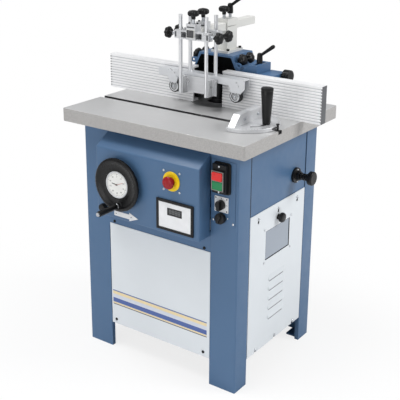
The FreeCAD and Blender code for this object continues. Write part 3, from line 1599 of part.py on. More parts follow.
def hood_outline(inset):
    """Arch of the hood; inset moves it inwards by a wall."""
    half = d.hood_half - inset
    bend = d.hood_bend_x - inset
    top_half = d.hood_top_half - inset
    return [
        (-half, sliding_foot),
        (half, sliding_foot),
        (half, h.hood_shoulder_z),
        (bend, h.hood_bend_z),
        (top_half, h.hood_top - inset),
        (-top_half, h.hood_top - inset),
        (-bend, h.hood_bend_z),
        (-half, h.hood_shoulder_z),
    ]


def build_hood():
    """Cast hood over the cutter: arch with lugs, spigot, wing blocks and left fence arm."""
    back = d.hood_front + d.hood_depth
    arch = prism("hood_arch", "XZ_Plane", hood_outline(size(0)), d.hood_front, back)
    mouth = new_sketch(arch, "XZ_Plane", -d.hood_front)
    outline(mouth, hood_outline(d.hood_wall))
    pocket(arch, mouth, d.hood_depth - d.hood_wall)
    port = (d.port_x, h.port_z)
    inner = d.port_radius - d.port_wall
    shell = [arch]
    holes = [rod("port_hole", "y", inner, back - d.hood_wall, back, port)]
    wings = {}
    lug_y = (d.hood_front, d.hood_front + d.lug_thick)
    for name, side in (("right", 1), ("left", -1)):
        centre = (side * d.lug_x, h.lug_z)
        inside = side * (d.hood_top_half + d.hood_wall)
        span = (inside, centre[0]) if side > 0 else (centre[0], inside)
        shell.append(rod(f"lug_{name}", "y", d.lug_radius, *lug_y, centre))
        shell.append(block(f"lug_{name}_root", span, lug_y, around(h.lug_z, d.lug_radius)))
        holes.append(rod(f"lug_{name}_hole", "y", d.lug_hole, *lug_y, centre))
        low_edge = h.wing_top - d.wing_slope
        wing_inside = d.hood_half - d.hood_wall
        crest = d.lever_x - d.lever_hub_radius - d.lever_slot_half
        roof = {
            "right": [(d.wing_right, h.wing_top), (crest, h.wing_top), (wing_inside, low_edge)],
            "left": [(-d.wing_right, h.left_wing_top), (-wing_inside, h.left_wing_top)],
        }
        casting = prism(
            f"wing_{name}_casting",
            "XZ_Plane",
            [
                (side * wing_inside, sliding_foot),
                (side * d.wing_right, sliding_foot),
                *roof[name],
            ],
            d.wing_front,
            d.wing_back,
        )
        arch_space = prism(
            f"arch_space_{name}", "XZ_Plane", hood_outline(size(0)), d.hood_front, back
        )
        wings[name] = carve(f"wing_{name}", casting, arch_space)
    left_arm = block(
        "left_arm",
        (-d.arm_right, -d.wing_right),
        (fence_back + d.slide_gap, d.arm_back),
        (sliding_foot, h.left_wing_top),
    )
    tunnel_y = (d.wing_front + d.tunnel_wall, d.wing_back - d.tunnel_wall)
    guideway = block(
        "guideway",
        (d.tunnel_left, d.wing_right),
        tunnel_y,
        (h.tunnel_bottom, h.tunnel_top),
    )
    lever_slot = block(
        "lever_slot",
        around(d.lever_x, d.lever_slot_half),
        tunnel_y,
        (h.tunnel_top, h.wing_top),
    )
    spigot_y = (back, back + d.port_length)
    castings = gather(
        "hood_castings",
        carve("hood_shell", join("hood_solid", *shell), *holes),
        carve(
            "spigot",
            rod("spigot_outside", "y", d.port_radius, *spigot_y, port),
            rod("spigot_inside", "y", inner, *spigot_y, port),
        ),
        join("left_wing_arm", wings["left"], left_arm),
        carve("right_wing_guide", wings["right"], guideway, lever_slot),
    )
    keep("hood", castings)


def build_fence_arm():
    """Sliding arm behind the right fence, guided in the right wing block."""
    clear = d.slide_gap
    tongue = block(
        "tongue",
        (d.tongue_left, d.wing_right + d.arm_gap),
        (d.tongue_front, d.tongue_back),
        (h.tunnel_bottom + clear, h.tunnel_top - clear),
    )
    body = block(
        "arm_body",
        (d.wing_right + d.arm_gap, d.arm_right),
        (fence_back + clear, d.arm_back),
        (sliding_foot, h.arm_top),
    )
    stud_top = h.tunnel_top - clear
    stud = rod(
        "stud_bore",
        "z",
        d.lever_stud_radius + d.run_gap,
        stud_top - d.lever_stud_seat,
        stud_top,
        (d.lever_x, d.lever_y),
    )
    shaft = rod(
        "adjust_bore",
        "x",
        d.adjust_shaft + d.run_gap,
        d.arm_right - d.adjust_shaft_length,
        d.arm_right,
        (d.adjust_y, h.adjust_z),
    )
    keep("fence_arm", carve("fence_arm", join("arm_solid", tongue, body), stud, shaft))
    knob_end = d.adjust_neck + d.adjust_length
    knob = turned(
        "adjust_knob",
        [
            (0, d.slide_gap - d.adjust_shaft_length),
            (d.adjust_shaft, d.slide_gap - d.adjust_shaft_length),
            (d.adjust_shaft, d.adjust_neck),
            (d.adjust_radius, d.adjust_neck),
            (d.adjust_radius, knob_end - d.adjust_knurl),
            (d.adjust_radius - d.adjust_knurl, knob_end),
            (0, knob_end),
        ],
        d.arm_right,
        d.adjust_y,
        h.adjust_z,
        "+x",
    )
    knurl = new_sketch(knob, "XY_Plane", knob_end)
    ring(knurl, d.adjust_radius, 0, d.adjust_knurl)
    circle_of(knob, pocket(knob, knurl, d.adjust_length), KNURL_COUNT)
    keep("fence_adjuster", knob)


def clamp_lever(node, x, y, seat, neck, tail):
    """Clamp lever: stud, hub and a tapered arm that rises to the right."""
    hub_bottom = seat + d.slide_gap + neck
    hub_top = hub_bottom + d.lever_hub_height
    stud = rod(node + "_stud", "z", d.lever_stud_radius, seat - tail, hub_bottom, (x, y))
    hub = rod(node + "_hub", "z", d.lever_hub_radius, hub_bottom, hub_top, (x, y))
    arm = doc.addObject("Part::Cone", node + "_arm")
    bind(arm, "Radius1", d.lever_arm_tip)
    bind(arm, "Radius2", d.lever_arm_radius)
    bind(arm, "Height", d.lever_arm_length)
    turn = FreeCAD.Rotation(FreeCAD.Vector(0, 1, 0), d.lever_tilt.value)
    arm.Placement = FreeCAD.Placement(FreeCAD.Vector(), turn)
    bind(arm, "Placement.Rotation.Angle", d.lever_tilt)
    bind(arm, "Placement.Base.x", x)
    bind(arm, "Placement.Base.y", y)
    bind(arm, "Placement.Base.z", hub_top - d.lever_hub_radius)
    keep(node, join(node, stud, hub, arm))


def build_clamp_levers():
    """Levers on the right wing block and on the tower."""
    stud_end = h.tunnel_top - d.slide_gap - d.lever_stud_seat + d.slide_gap
    clamp_lever("wing_lever", d.lever_x, d.lever_y, h.wing_top, size(0), h.wing_top - stud_end)
    tail = h.tower_top - tube_top - d.slide_gap * 2
    clamp_lever("tower_lever", size(0), d.tower_lever_y, h.tower_top, d.tower_lever_neck, tail)


def hand_knob(name, neck, tail, x, y, z, direction):
    """Scalloped hand knob on a stud; its seat is at the given place."""
    base = neck
    top = neck + d.knob_height
    knob = turned(
        name,
        [
            (0, -tail),
            (d.knob_stud_radius, -tail),
            (d.knob_stud_radius, d.slide_gap),
            (d.knob_neck_radius, d.slide_gap),
            (d.knob_neck_radius, base),
            (d.knob_radius - d.knob_edge, base),
            (d.knob_radius, base + d.knob_edge),
            (d.knob_radius, top - d.knob_edge),
            (d.knob_radius - d.knob_edge, top),
            (0, top),
        ],
        x,
        y,
        z,
        direction,
    )
    scallop = new_sketch(knob, "XY_Plane", top)
    ring(scallop, d.knob_radius + d.knob_scallop / 2, 0, d.knob_scallop)
    circle_of(knob, pocket(knob, scallop, d.knob_height), SCALLOP_COUNT)
    return knob


def build_hood_knobs():
    """Hand nuts that hold the hood's lining, two on each sloping side."""
    run = d.hood_bend_x - d.hood_top_half
    fall = h.hood_top - h.hood_bend_z
    seat_x = d.hood_top_half + run * (h.hood_top - h.hood_knob_z) / fall
    tilt = (fall / run).arc_tangent()
    knobs = []
    for name, side in (("right", 1), ("left", -1)):
        for index in (0, 1):
            y = d.hood_knob_front + d.hood_knob_pitch * index
            label = f"hood_knob_{name}_{index}"
            knob = hand_knob(
                label, d.hood_knob_neck, size(0), side * seat_x, y, h.hood_knob_z, "+z"
            )
            turn = FreeCAD.Rotation(FreeCAD.Vector(0, side, 0), tilt.value)
            knob.Placement = FreeCAD.Placement(knob.Placement.Base, turn)
            bind(knob, "Placement.Rotation.Angle", tilt)
            knobs.append(knob)
    keep("hood_knobs", gather("hood_knob_set", *knobs))


def build_tower():
    """Clamp tower on the hood for the square tube, with its base screws."""
    base_top = h.hood_top + d.tower_base_thick
    column = block(
        "tower_column",
        both(d.tower_half),
        (d.tower_front, d.tower_back),
        (h.hood_top, h.tower_top),
    )
    base = block(
        "tower_base",
        both(d.tower_base_half),
        (d.tower_base_front, d.tower_base_back),
        (h.hood_top, base_top),
    )
    screws = []
    rows = (
        d.tower_base_front + d.tower_screw_inset,
        d.tower_base_back - d.tower_screw_inset,
    )
    for side in (-1, 1):
        for y in rows:
            name = f"tower_screw_{len(screws)}"
            top = base_top + d.tower_screw_height
            spot = (side * d.tower_screw_x, y)
            screws.append(rod(name, "z", d.tower_screw_radius, base_top, top, spot))
    through = (d.tower_front, d.tower_back)
    hole = block(
        "tower_hole",
        both(d.tube_width / 2 + d.slide_gap),
        through,
        (tube_bottom - d.slide_gap, tube_top + d.slide_gap),
    )
    cut = block(
        "tower_saw_cut", (size(0), d.tower_half), through, around(h.tube_z, d.tower_cut / 2)
    )
    bore_top = h.tower_top
    knob_bore = rod(
        "tower_knob_bore",
        "z",
        d.knob_stud_radius + d.run_gap,
        tube_top,
        bore_top,
        (size(0), d.tower_knob_y),
    )
    lever_bore = rod(
        "tower_lever_bore",
        "z",
        d.lever_stud_radius + d.run_gap,
        tube_top,
        bore_top,
        (size(0), d.tower_lever_y),
    )
    solid = join("tower_solid", column, base, *screws)
    keep("tower", carve("tower", solid, hole, cut, knob_bore, lever_bore))
    tail = h.tower_top - tube_top - d.slide_gap * 2
    knob = hand_knob("tower_hand_knob", d.knob_neck, tail, 0, d.tower_knob_y, h.tower_top, "+z")
    keep("tower_knob", knob)


def build_tube():
    """Square tube that carries the crossheads."""
    along = (d.tube_front, d.tube_back)
    half = d.tube_width / 2
    outer = block("tube_outer", both(half), along, (tube_bottom, tube_top))
    inner = block(
        "tube_inner",
        both(half - d.tube_wall),
        (d.tube_front, d.tube_back - d.tube_wall),
        (tube_bottom + d.tube_wall, tube_top - d.tube_wall),
    )
    keep("tube", carve("tube", outer, inner))


def build_crosshead(place_name, y):
    """Crosshead that clamps the tube and a pair of rods, with its three hand knobs."""
    head = block(
        f"head_{place_name}",
        both(d.head_half),
        around(y, d.head_half_depth),
        (h.head_bottom, h.head_top),
    )
    beam_y = around(y, d.beam_half_depth)
    beam = block(f"beam_{place_name}", both(d.beam_half), beam_y, (h.head_bottom, h.beam_top))
    through = around(y, d.head_half_depth)
    middle = (h.head_bottom + h.beam_top) / 2
    cuts = [
        block(
            f"tube_hole_{place_name}", both(d.tube_width / 2), through, (tube_bottom, tube_top)
        ),
        block(
            f"saw_cut_{place_name}",
            both(d.head_slot_half),
            through,
            (h.head_slot_bottom, h.head_slot_bottom + d.head_slot_height),
        ),
        rod(
            f"top_bore_{place_name}",
            "z",
            d.knob_stud_radius + d.run_gap,
            h.head_slot_bottom,
            h.head_top,
            (size(0), y),
        ),
    ]
    window_y = (beam_y[0], beam_y[1] - d.beam_web)
    window_z = (h.head_bottom + d.beam_wall, h.beam_top - d.beam_wall)
    for name, side in (("right", 1), ("left", -1)):
        near = side * d.head_half
        far = side * (d.rod_x - d.boss_half)
        span = (near, far) if side > 0 else (far, near)
        label = f"{place_name}_{name}"
        cuts.append(block("window_" + label, span, window_y, window_z))
        rod_bore = d.rod_radius + d.run_gap
        rod_spot = (side * d.rod_x, y)
        cuts.append(rod("rod_bore_" + label, "z", rod_bore, h.head_bottom, h.beam_top, rod_spot))
        inner = side * (d.rod_x + d.rod_radius)
        outer = side * d.beam_half
        bore_span = (inner, outer) if side > 0 else (outer, inner)
        stud_bore = d.knob_stud_radius + d.run_gap
        cuts.append(rod("stud_bore_" + label, "x", stud_bore, *bore_span, (y, middle)))
        tail = d.beam_half - d.rod_x - d.rod_radius - d.slide_gap * 2
        direction = "+x" if side > 0 else "-x"
        knob = hand_knob("knob_" + label, d.knob_neck, tail, outer, y, middle, direction)
        keep(f"side_knob_{label}", knob)
    solid = join(f"crosshead_solid_{place_name}", head, beam)
    keep(f"crosshead_{place_name}", carve(f"crosshead_cut_{place_name}", solid, *cuts))
    top_tail = h.head_top - h.head_slot_bottom
    top_knob = hand_knob(f"knob_top_{place_name}", d.knob_neck, top_tail, 0, y, h.head_top, "+z")
    keep(f"top_knob_{place_name}", top_knob)


def build_guard():
    """Ribbed front guard on the two front rods."""
    plate_front = d.guard_back - d.guard_plate
    outside = d.rod_x + d.guard_arm_half
    inside = d.rod_x - d.guard_arm_half
    section = [
        (-d.guard_half, d.guard_back),
        (-d.guard_half, plate_front),
        (-outside, plate_front),
        (-outside, d.guard_arm_front),
        (-inside, d.guard_arm_front),
        (-inside, plate_front),
        (inside, plate_front),
        (inside, d.guard_arm_front),
        (outside, d.guard_arm_front),
        (outside, plate_front),
        (d.guard_half, plate_front),
        (d.guard_half, d.guard_back),
    ]
    body = prism("guard_plate", "XY_Plane", section, h.guard_bottom, h.guard_top)
    ribs = new_sketch(body, "XY_Plane", h.guard_top)
    start = d.guard_arm_front + d.guard_rib_width
    across = (start, start + d.guard_rib_width)
    for face, side in ((outside, 1), (inside, 1), (-outside, -1), (-inside, -1)):
        outward = side if abs(face.value) > d.rod_x.value else -side
        depth = face - outward * d.guard_rib_depth
        clear = face + outward * d.guard_rib_depth
        span = (depth, clear) if outward > 0 else (clear, depth)
        rectangle(ribs, span, across)
    grooves = pocket(body, ribs, h.guard_top - h.guard_bottom)
    row_of(body, grooves, "Y_Axis", d.guard_rib_pitch, GUARD_RIB_COUNT)
    rods = [
        rod(
            f"front_rod_{name}",
            "z",
            d.rod_radius,
            h.guard_bottom,
            h.rod_top,
            (side * d.rod_x, d.front_rod_y),
        )
        for name, side in (("right", 1), ("left", -1))
    ]
    keep("guard", join("guard", body, *rods))


def build_roller_shoe():
    """Roller channel on the two rear rods, with its lugs and axles."""
    top = h.shoe_top
    waist = top - d.shoe_waist
    tip = h.roller_z - d.lug_tip_drop
    shoe_back = d.shoe_front + d.shoe_depth
    left = d.roller_left
    right = d.roller_right
    body = prism(
        "shoe_channel",
        "XZ_Plane",
        [
            (-d.shoe_half, top),
            (-d.shoe_half, top - d.shoe_left_edge),
            (left - d.lug_run, waist),
            (left - d.lug_tip_half, tip),
            (left + d.lug_tip_half, tip),
            (left + d.lug_run, waist),
            (right - d.lug_run, waist),
            (right - d.lug_tip_half, tip),
            (right + d.lug_tip_half, tip),
            (d.shoe_half, top - d.shoe_right_edge),
            (d.shoe_half, top),
        ],
        d.shoe_front,
        shoe_back,
    )
    hollow = new_sketch(body, "YZ_Plane", d.shoe_half)
    rectangle(
        hollow,
        (d.shoe_front + d.shoe_sheet, shoe_back - d.shoe_sheet),
        (tip, top - d.shoe_sheet),
    )
    pocket(body, hollow, d.shoe_half * 2)
    pieces = [body]
    holes = []
    across = (d.shoe_front + d.shoe_sheet, shoe_back)
    for name, x in (("left", left), ("right", right)):
        pieces.append(rod("axle_" + name, "y", d.axle_radius, *across, (x, h.roller_z)))
        first = (x + d.shoe_hole_first, h.roller_z + d.shoe_hole_top)
        second = (first[0] + d.shoe_hole_step, first[1] - d.shoe_hole_fall)
        front = (d.shoe_front, d.shoe_front + d.shoe_sheet)
        holes.append(rod(f"spare_{name}_0", "y", d.shoe_hole_radius, *front, first))
        holes.append(rod(f"spare_{name}_1", "y", d.shoe_hole_radius, *front, second))
        trim = (tip, h.roller_z + d.lug_front_rise)
        holes.append(block(f"lug_trim_{name}", around(x, d.lug_run), front, trim))
    for name, side in (("right", 1), ("left", -1)):
        spot = (side * d.rod_x, d.rear_rod_y)
        pieces.append(
            rod("rear_rod_" + name, "z", d.rod_radius, top - d.shoe_sheet, h.rod_top, spot)
        )
    keep("roller_shoe", carve("roller_shoe", join("shoe_solid", *pieces), *holes))


def build_rollers():
    """Spoked rollers with tyres."""
    width = d.roller_width
    web_low = (width - d.roller_web) / 2
    web_high = (width + d.roller_web) / 2
    bore = d.axle_radius + d.run_gap
    back = d.shoe_front + d.shoe_depth / 2 + width / 2
    for name, x in (("left", d.roller_left), ("right", d.roller_right)):
        wheel = turned(
            "roller_" + name,
            [
                (bore, 0),
                (d.roller_hub, 0),
                (d.roller_hub, web_low),
                (d.roller_rim, web_low),
                (d.roller_rim, 0),
                (d.roller_radius - d.roller_edge, 0),
                (d.roller_radius, d.roller_edge),
                (d.roller_radius, width - d.roller_edge),
                (d.roller_radius - d.roller_edge, width),
                (d.roller_rim, width),
                (d.roller_rim, web_high),
                (d.roller_hub, web_high),
                (d.roller_hub, width),
                (bore, width),
            ],
            x,
            back,
            h.roller_z,
            "-y",
        )
        hole = new_sketch(wheel, "XY_Plane", web_high)
        ring(hole, d.roller_hole_ring, 0, d.roller_hole)
        circle_of(wheel, pocket(wheel, hole, d.roller_web), ROLLER_HOLE_COUNT)
        keep("roller_" + name, wheel)


def build_fence(name, start):
    """Ribbed fence half with channels along its back."""
    body = new_body("fence_" + name + "_bar")
    foot = sliding_foot
    top = d.table_height + d.fence_height
    section = new_sketch(body, "YZ_Plane", start)
    rectangle(section, (d.fence_front, fence_back), (foot, top))
    pad(body, section, d.fence_length)
    middle = (foot + top) / 2
    channels = new_sketch(body, "YZ_Plane", start)
    channel_y = (d.fence_front + d.back_wall, fence_back)
    rectangle(channels, channel_y, (foot + d.back_wall, middle - d.back_web / 2))
    rectangle(channels, channel_y, (middle + d.back_web / 2, top - d.back_wall))
    pocket(body, channels, d.fence_length, backwards=True)
    groove = new_sketch(body, "YZ_Plane", start)
    low = foot + d.groove_first
    rectangle(
        groove,
        (d.fence_front - d.groove_depth, d.fence_front + d.groove_depth),
        (low, low + d.groove_height),
    )
    cut = pocket(body, groove, d.fence_length, backwards=True)
    row_of(body, cut, "Z_Axis", d.groove_pitch, GROOVE_COUNT)
    keep("fence_" + name, body)


def build_mitre_gauge():
    """Mitre gauge: bar with a pivot pin and pointer, plate with an upright face, handle."""
    pivot = (d.gauge_x, d.slot_y)
    bar_bottom = d.table_height - d.slot_depth + d.slide_gap
    bar_top = d.table_height
    plate_bottom = sliding_foot
    plate_top = plate_bottom + d.gauge_thick
    bar_half = d.slot_width / 2 - d.bar_side_gap
    bar = block(
        "bar_blank", (d.bar_left, d.bar_right), around(d.slot_y, bar_half), (bar_bottom, bar_top)
    )
    pin = rod("pivot_pin", "z", d.gauge_pin_radius, bar_top, plate_top, pivot)
    post_x = d.bar_right - d.pointer_inset
    pointer_top = bar_top + d.pointer_height
    post = rod(
        "pointer_post", "z", d.pointer_post_radius, bar_top, pointer_top, (post_x, d.slot_y)
    )
    rod_z = pointer_top - d.pointer_post_radius
    pointer = rod(
        "pointer_rod",
        "y",
        d.pointer_rod_radius,
        d.slot_y - d.pointer_length,
        d.slot_y,
        (post_x, rod_z),
    )
    grip_x = d.gauge_x + d.gauge_slot_radius
    seat = rod(
        "grip_seat",
        "z",
        d.grip_stud_radius + d.run_gap,
        bar_top - d.grip_stud_seat - d.slide_gap,
        bar_top,
        (grip_x, d.slot_y),
    )
    solid = join("bar_solid", bar, pin, post, pointer)
    keep("mitre_bar", carve("mitre_bar", solid, seat))
    disc = rod("plate_disc", "z", d.gauge_radius, plate_bottom, plate_top, pivot)
    keep_left = d.gauge_x - d.gauge_back
    limit = block(
        "plate_limit",
        (keep_left, d.gauge_x + d.gauge_radius),
        around(d.slot_y, d.gauge_radius),
        (plate_bottom, plate_top),
    )
    plate = doc.addObject("Part::Common", "plate_half")
    plate.Base = disc
    plate.Tool = limit
    foot_half = d.gauge_face_foot
    head_half = d.gauge_face_head
    face_top = plate_top + d.gauge_face_top
    face = prism(
        "gauge_face",
        "YZ_Plane",
        [
            (d.slot_y - foot_half, plate_top),
            (d.slot_y + foot_half, plate_top),
            (d.slot_y + head_half, face_top),
            (d.slot_y - head_half, face_top),
        ],
        keep_left,
        keep_left + d.gauge_face_thick,
    )
    slots = []
    for name, radius in (
        ("outer", d.gauge_slot_radius + d.gauge_slot_half),
        ("inner", d.gauge_slot_radius - d.gauge_slot_half),
    ):
        sector = doc.addObject("Part::Cylinder", "slot_" + name)
        bind(sector, "Radius", radius)
        bind(sector, "Height", d.gauge_thick)
        bind(sector, "Angle", d.gauge_slot_angle)
        turn = FreeCAD.Rotation(FreeCAD.Vector(0, 0, -1), d.gauge_slot_angle.value / 2)
        sector.Placement = FreeCAD.Placement(FreeCAD.Vector(), turn)
        bind(sector, "Placement.Rotation.Angle", d.gauge_slot_angle / 2)
        bind(sector, "Placement.Base.x", d.gauge_x)
        bind(sector, "Placement.Base.y", d.slot_y)
        bind(sector, "Placement.Base.z", plate_bottom)
        slots.append(sector)
    slot = carve("curved_slot", *slots)
    bore = rod(
        "pivot_bore", "z", d.gauge_pin_radius + d.run_gap, plate_bottom, plate_top, pivot
    )
    keep("mitre_head", carve("mitre_head", join("head_solid", plate, face), slot, bore))
    grip_base = plate_top + d.slide_gap
    grip_top = grip_base + d.grip_height
    grip = turned(
        "mitre_grip",
        [
            (0, bar_top - d.grip_stud_seat),
            (d.grip_stud_radius, bar_top - d.grip_stud_seat),
            (d.grip_stud_radius, grip_base),
            (d.grip_base_radius, grip_base),
            (d.grip_top_radius, grip_top - d.grip_edge),
            (d.grip_top_radius - d.grip_edge, grip_top),
            (0, grip_top),
        ],
        grip_x,
        d.slot_y,
        size(0),
    )
    keep("mitre_handle", grip)


def check_model():
    """Stop if any object failed or any sub-part's shape is missing or invalid."""
    for thing in doc.Objects:
        if "Invalid" in thing.State or "Error" in thing.State:
            raise RuntimeError(f"{thing.Name} failed: {thing.State}")
    for node, thing in nodes.items():
        if thing.Shape.isNull() or not thing.Shape.isValid():
            raise RuntimeError(f"{node} has no valid shape")


def write_parts():
    """Write each sub-part to its own file."""
    os.makedirs("parts", exist_ok=True)
    for node, thing in nodes.items():
        thing.Shape.exportStep(f"parts/{node}.step")


def main():
    """Build every sub-part, check the model and write it."""
    build_stand()
    build_covers()
    build_screws()
    build_side_door()
    build_table()
    build_console()
    build_display()
    build_emergency_stop()
    build_switches()
    build_tension_handle()
    build_handwheel()
    build_lift_lock()
    build_lift_screw()
    build_slideway()
    build_spindle_housing()
    build_motor()
    build_spindle()
    build_motor_pulley()
    build_belt()
    build_hood()
    build_fence_arm()
    build_clamp_levers()
    build_hood_knobs()
    build_tower()
    build_tube()
    build_crosshead("front", d.front_rod_y)
    build_crosshead("rear", d.rear_rod_y)
    build_guard()
    build_roller_shoe()
    build_rollers()
    build_fence("right", d.fence_gap)
    build_fence("left", -d.fence_gap - d.fence_length)
    build_mitre_gauge()
    doc.recompute()
    check_model()
    write_parts()


main()
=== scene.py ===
"""Looks of a spindle moulder: its cabinet, table, fence, pressure unit and controls.

Pieces are shaped in millimetres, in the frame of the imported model, and ride on its bodies.
"""

from __future__ import annotations

import json
import logging
import math
from collections.abc import Callable, Iterable, Sequence
from dataclasses import dataclass
from enum import Enum

import bmesh
import bpy
from mathutils import Matrix, Vector

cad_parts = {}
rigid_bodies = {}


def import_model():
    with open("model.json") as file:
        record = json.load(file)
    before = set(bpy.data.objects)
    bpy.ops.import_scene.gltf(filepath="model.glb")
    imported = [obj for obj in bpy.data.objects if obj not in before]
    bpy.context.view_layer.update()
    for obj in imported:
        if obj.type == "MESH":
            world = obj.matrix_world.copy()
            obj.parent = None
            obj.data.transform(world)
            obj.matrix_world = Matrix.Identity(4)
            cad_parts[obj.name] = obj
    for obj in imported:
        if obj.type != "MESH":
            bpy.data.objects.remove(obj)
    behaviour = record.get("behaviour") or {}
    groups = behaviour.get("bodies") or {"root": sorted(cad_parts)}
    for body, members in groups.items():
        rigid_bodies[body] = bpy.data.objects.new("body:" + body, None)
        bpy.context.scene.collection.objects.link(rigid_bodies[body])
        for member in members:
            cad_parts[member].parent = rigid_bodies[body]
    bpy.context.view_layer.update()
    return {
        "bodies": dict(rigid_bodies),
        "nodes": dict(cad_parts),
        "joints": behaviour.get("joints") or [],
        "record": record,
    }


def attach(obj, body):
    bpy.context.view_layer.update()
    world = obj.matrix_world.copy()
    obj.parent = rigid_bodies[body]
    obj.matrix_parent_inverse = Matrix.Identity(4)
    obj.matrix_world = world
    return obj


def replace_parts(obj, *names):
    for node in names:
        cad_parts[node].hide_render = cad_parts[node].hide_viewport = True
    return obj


log = logging.getLogger("spindle_moulder")

Span = tuple[float, float]
Point = tuple[float, float, float]
Box = tuple[Span, Span, Span]
Colour = tuple[float, ...]
Plane = tuple[Point, float]
Profile = Sequence[Span]
Where = Callable[[Vector, Vector], bool]
Socket = bpy.types.NodeSocket
Vert = bmesh.types.BMVert

MM = 0.001
FULL_TURN = 2 * math.pi
SHARP = math.radians(32)  # edges steeper than this are sharp
FLAT = math.radians(0.4)  # faces within this are one
WELD = 1e-6
FOLD_RADIUS = 4.0
FOLD_ROOM = 0.05
FACING = 0.9  # share of a normal that makes a face look along an axis
PATTERN_ROOM = (0.3, 0.7)  # part of a noise pattern that is used
MIX_COLOURS = (6, 7)  # colour inputs of a mix node
MIX_RESULT = 2  # its colour output

SIDE_X = 301.5  # outer faces of the legs and side covers
LEG_Y = 238.5  # outer faces of the legs, front and back
COVER_Y = -240.5  # face of the front cover and of the control plate
CONSOLE_Y = -297.0  # face of the console
TABLE_TOP = 842.5
SLOT_Y = -93.0  # middle of the mitre slot


class Axis(Enum):
    """Direction along which a turned piece grows."""

    LEFT = (-1, 0, 0)
    RIGHT = (1, 0, 0)
    FRONT = (0, -1, 0)
    BACK = (0, 1, 0)
    UP = (0, 0, 1)
    DOWN = (0, 0, -1)

    def vector(self) -> Vector:
        """Unit vector of this direction."""
        return Vector(self.value)


class Slot(Enum):
    """Finish slots of the part's record."""

    WHITE = "white_paint"
    STEEL = "bright_steel"
    BLACK = "black_plastic"
    DIAL = "dial_white"
    DISPLAY = "display_grey"
    SELECTOR = "selector_white"
    RIBBED = "ribbed_aluminium"
    YELLOW = "stop_yellow"
    RED = "stop_red"


def linear(red: float, green: float, blue: float) -> Colour:
    """Turn a display colour into the linear colour that a shader takes.

    Args:
        red: red from 0 to 255.
        green: green from 0 to 255.
        blue: blue from 0 to 255.

    Returns:
        Linear red, green, blue and a full alpha.
    """

    def one(level: float) -> float:
        """One channel, without the display's curve."""
        share = level / 255
        return share / 12.92 if share <= 0.04045 else ((share + 0.055) / 1.055) ** 2.4

    return (one(red), one(green), one(blue), 1.0)


def set_inputs(node: bpy.types.Node, **values: object) -> None:
    """Set plain values on a node, with underscores for the spaces in their names."""
    for name, value in values.items():
        node.inputs[name.replace("_", " ")].default_value = value


def add_node(tree: bpy.types.NodeTree, kind: str, **values: object) -> bpy.types.Node:
    """Add a node to a tree.

    Args:
        tree: node tree to work in.
        kind: type of the node.
        values: plain values of its inputs.

    Returns:
        The new node.
    """
    node = tree.nodes.new(kind)
    set_inputs(node, **values)
    return node


def find_node(tree: bpy.types.NodeTree, kind: str) -> bpy.types.Node:
    """First node of a kind in a tree."""
    return next(node for node in tree.nodes if node.type == kind)


class ShaderTree:
    """A material's nodes, wired from the piece's own coordinates."""

    def __init__(self, name: str) -> None:
        """Start a material that holds one principled shader.

        Args:
            name: name of the material.
        """
        self.material = bpy.data.materials.new(name)
        self.material.use_nodes = True
        self.tree = self.material.node_tree
        self.link = self.tree.links.new
        self.shader = find_node(self.tree, "BSDF_PRINCIPLED")
        self.place = add_node(self.tree, "ShaderNodeTexCoord").outputs["Object"]

    def noise(self, scale: float, detail: float, stretch: Point = (1, 1, 1)) -> Socket:
        """Add a noise pattern fixed to the piece.

        Args:
            scale: grains per metre.
            detail: octaves of finer grain.
            stretch: factor on the pattern's density along each axis.

        Returns:
            The pattern's strength, from 0 to 1.
        """
        mapping = add_node(self.tree, "ShaderNodeMapping", Scale=stretch)
        self.link(self.place, mapping.inputs["Vector"])
        texture = add_node(self.tree, "ShaderNodeTexNoise", Scale=scale, Detail=detail)
        self.link(mapping.outputs["Vector"], texture.inputs["Vector"])
        return texture.outputs[0]

    def tint(self, source: Socket, shades: tuple[Colour, Colour]) -> None:
        """Colour the piece along a pattern.

        Args:
            source: pattern from 0 to 1.
            shades: linear colours at 0 and at 1.
        """
        node = add_node(self.tree, "ShaderNodeMix")
        node.data_type = "RGBA"
        for index, shade in zip(MIX_COLOURS, shades):
            node.inputs[index].default_value = shade
        self.link(source, node.inputs[0])
        self.link(node.outputs[MIX_RESULT], self.shader.inputs["Base Color"])

    def roughness(self, source: Socket, low: float, high: float) -> None:
        """Take the roughness from a pattern.

        Args:
            source: pattern from 0 to 1.
            low: roughness at the pattern's dark end.
            high: roughness at its bright end.
        """
        start, stop = PATTERN_ROOM
        node = add_node(
            self.tree, "ShaderNodeMapRange", From_Min=start, From_Max=stop, To_Min=low, To_Max=high
        )
        self.link(source, node.inputs["Value"])
        self.link(node.outputs["Result"], self.shader.inputs["Roughness"])

    def bump(self, source: Socket, strength: float, depth: float) -> None:
        """Raise the surface along a pattern.

        Args:
            source: pattern from 0 to 1.
            strength: share of the effect.
            depth: height of the grain in metres.
        """
        node = add_node(self.tree, "ShaderNodeBump", Strength=strength, Distance=depth)
        self.link(source, node.inputs["Height"])
        self.link(node.outputs["Normal"], self.shader.inputs["Normal"])


@dataclass(frozen=True)
class Finish:
    """A surface finish, made into a material the first time that it is used."""

    name: str
    colour: Point

    def material(self) -> bpy.types.Material:
        """Find the finish's material, or make it on its first use.

        Returns:
            The material that every piece with this finish shares.
        """
        found = bpy.data.materials.get(self.name)
        if found is None:
            tree = ShaderTree(self.name)
            self.wire(tree)
            found = tree.material
        return found

    def shades(self, spread: float) -> tuple[Colour, Colour]:
        """A darker and a lighter tint of the finish.

        Args:
            spread: share of the colour to go down and up.

        Returns:
            The two linear colours.
        """
        *levels, alpha = linear(*self.colour)
        dark = (*(level * (1 - spread) for level in levels), alpha)
        bright = (*(min(level * (1 + spread), 1.0) for level in levels), alpha)
        return dark, bright

    def wire(self, tree: ShaderTree) -> None:
        """Wire the finish into a material's nodes.

        Args:
            tree: the material's nodes.
        """
        raise NotImplementedError


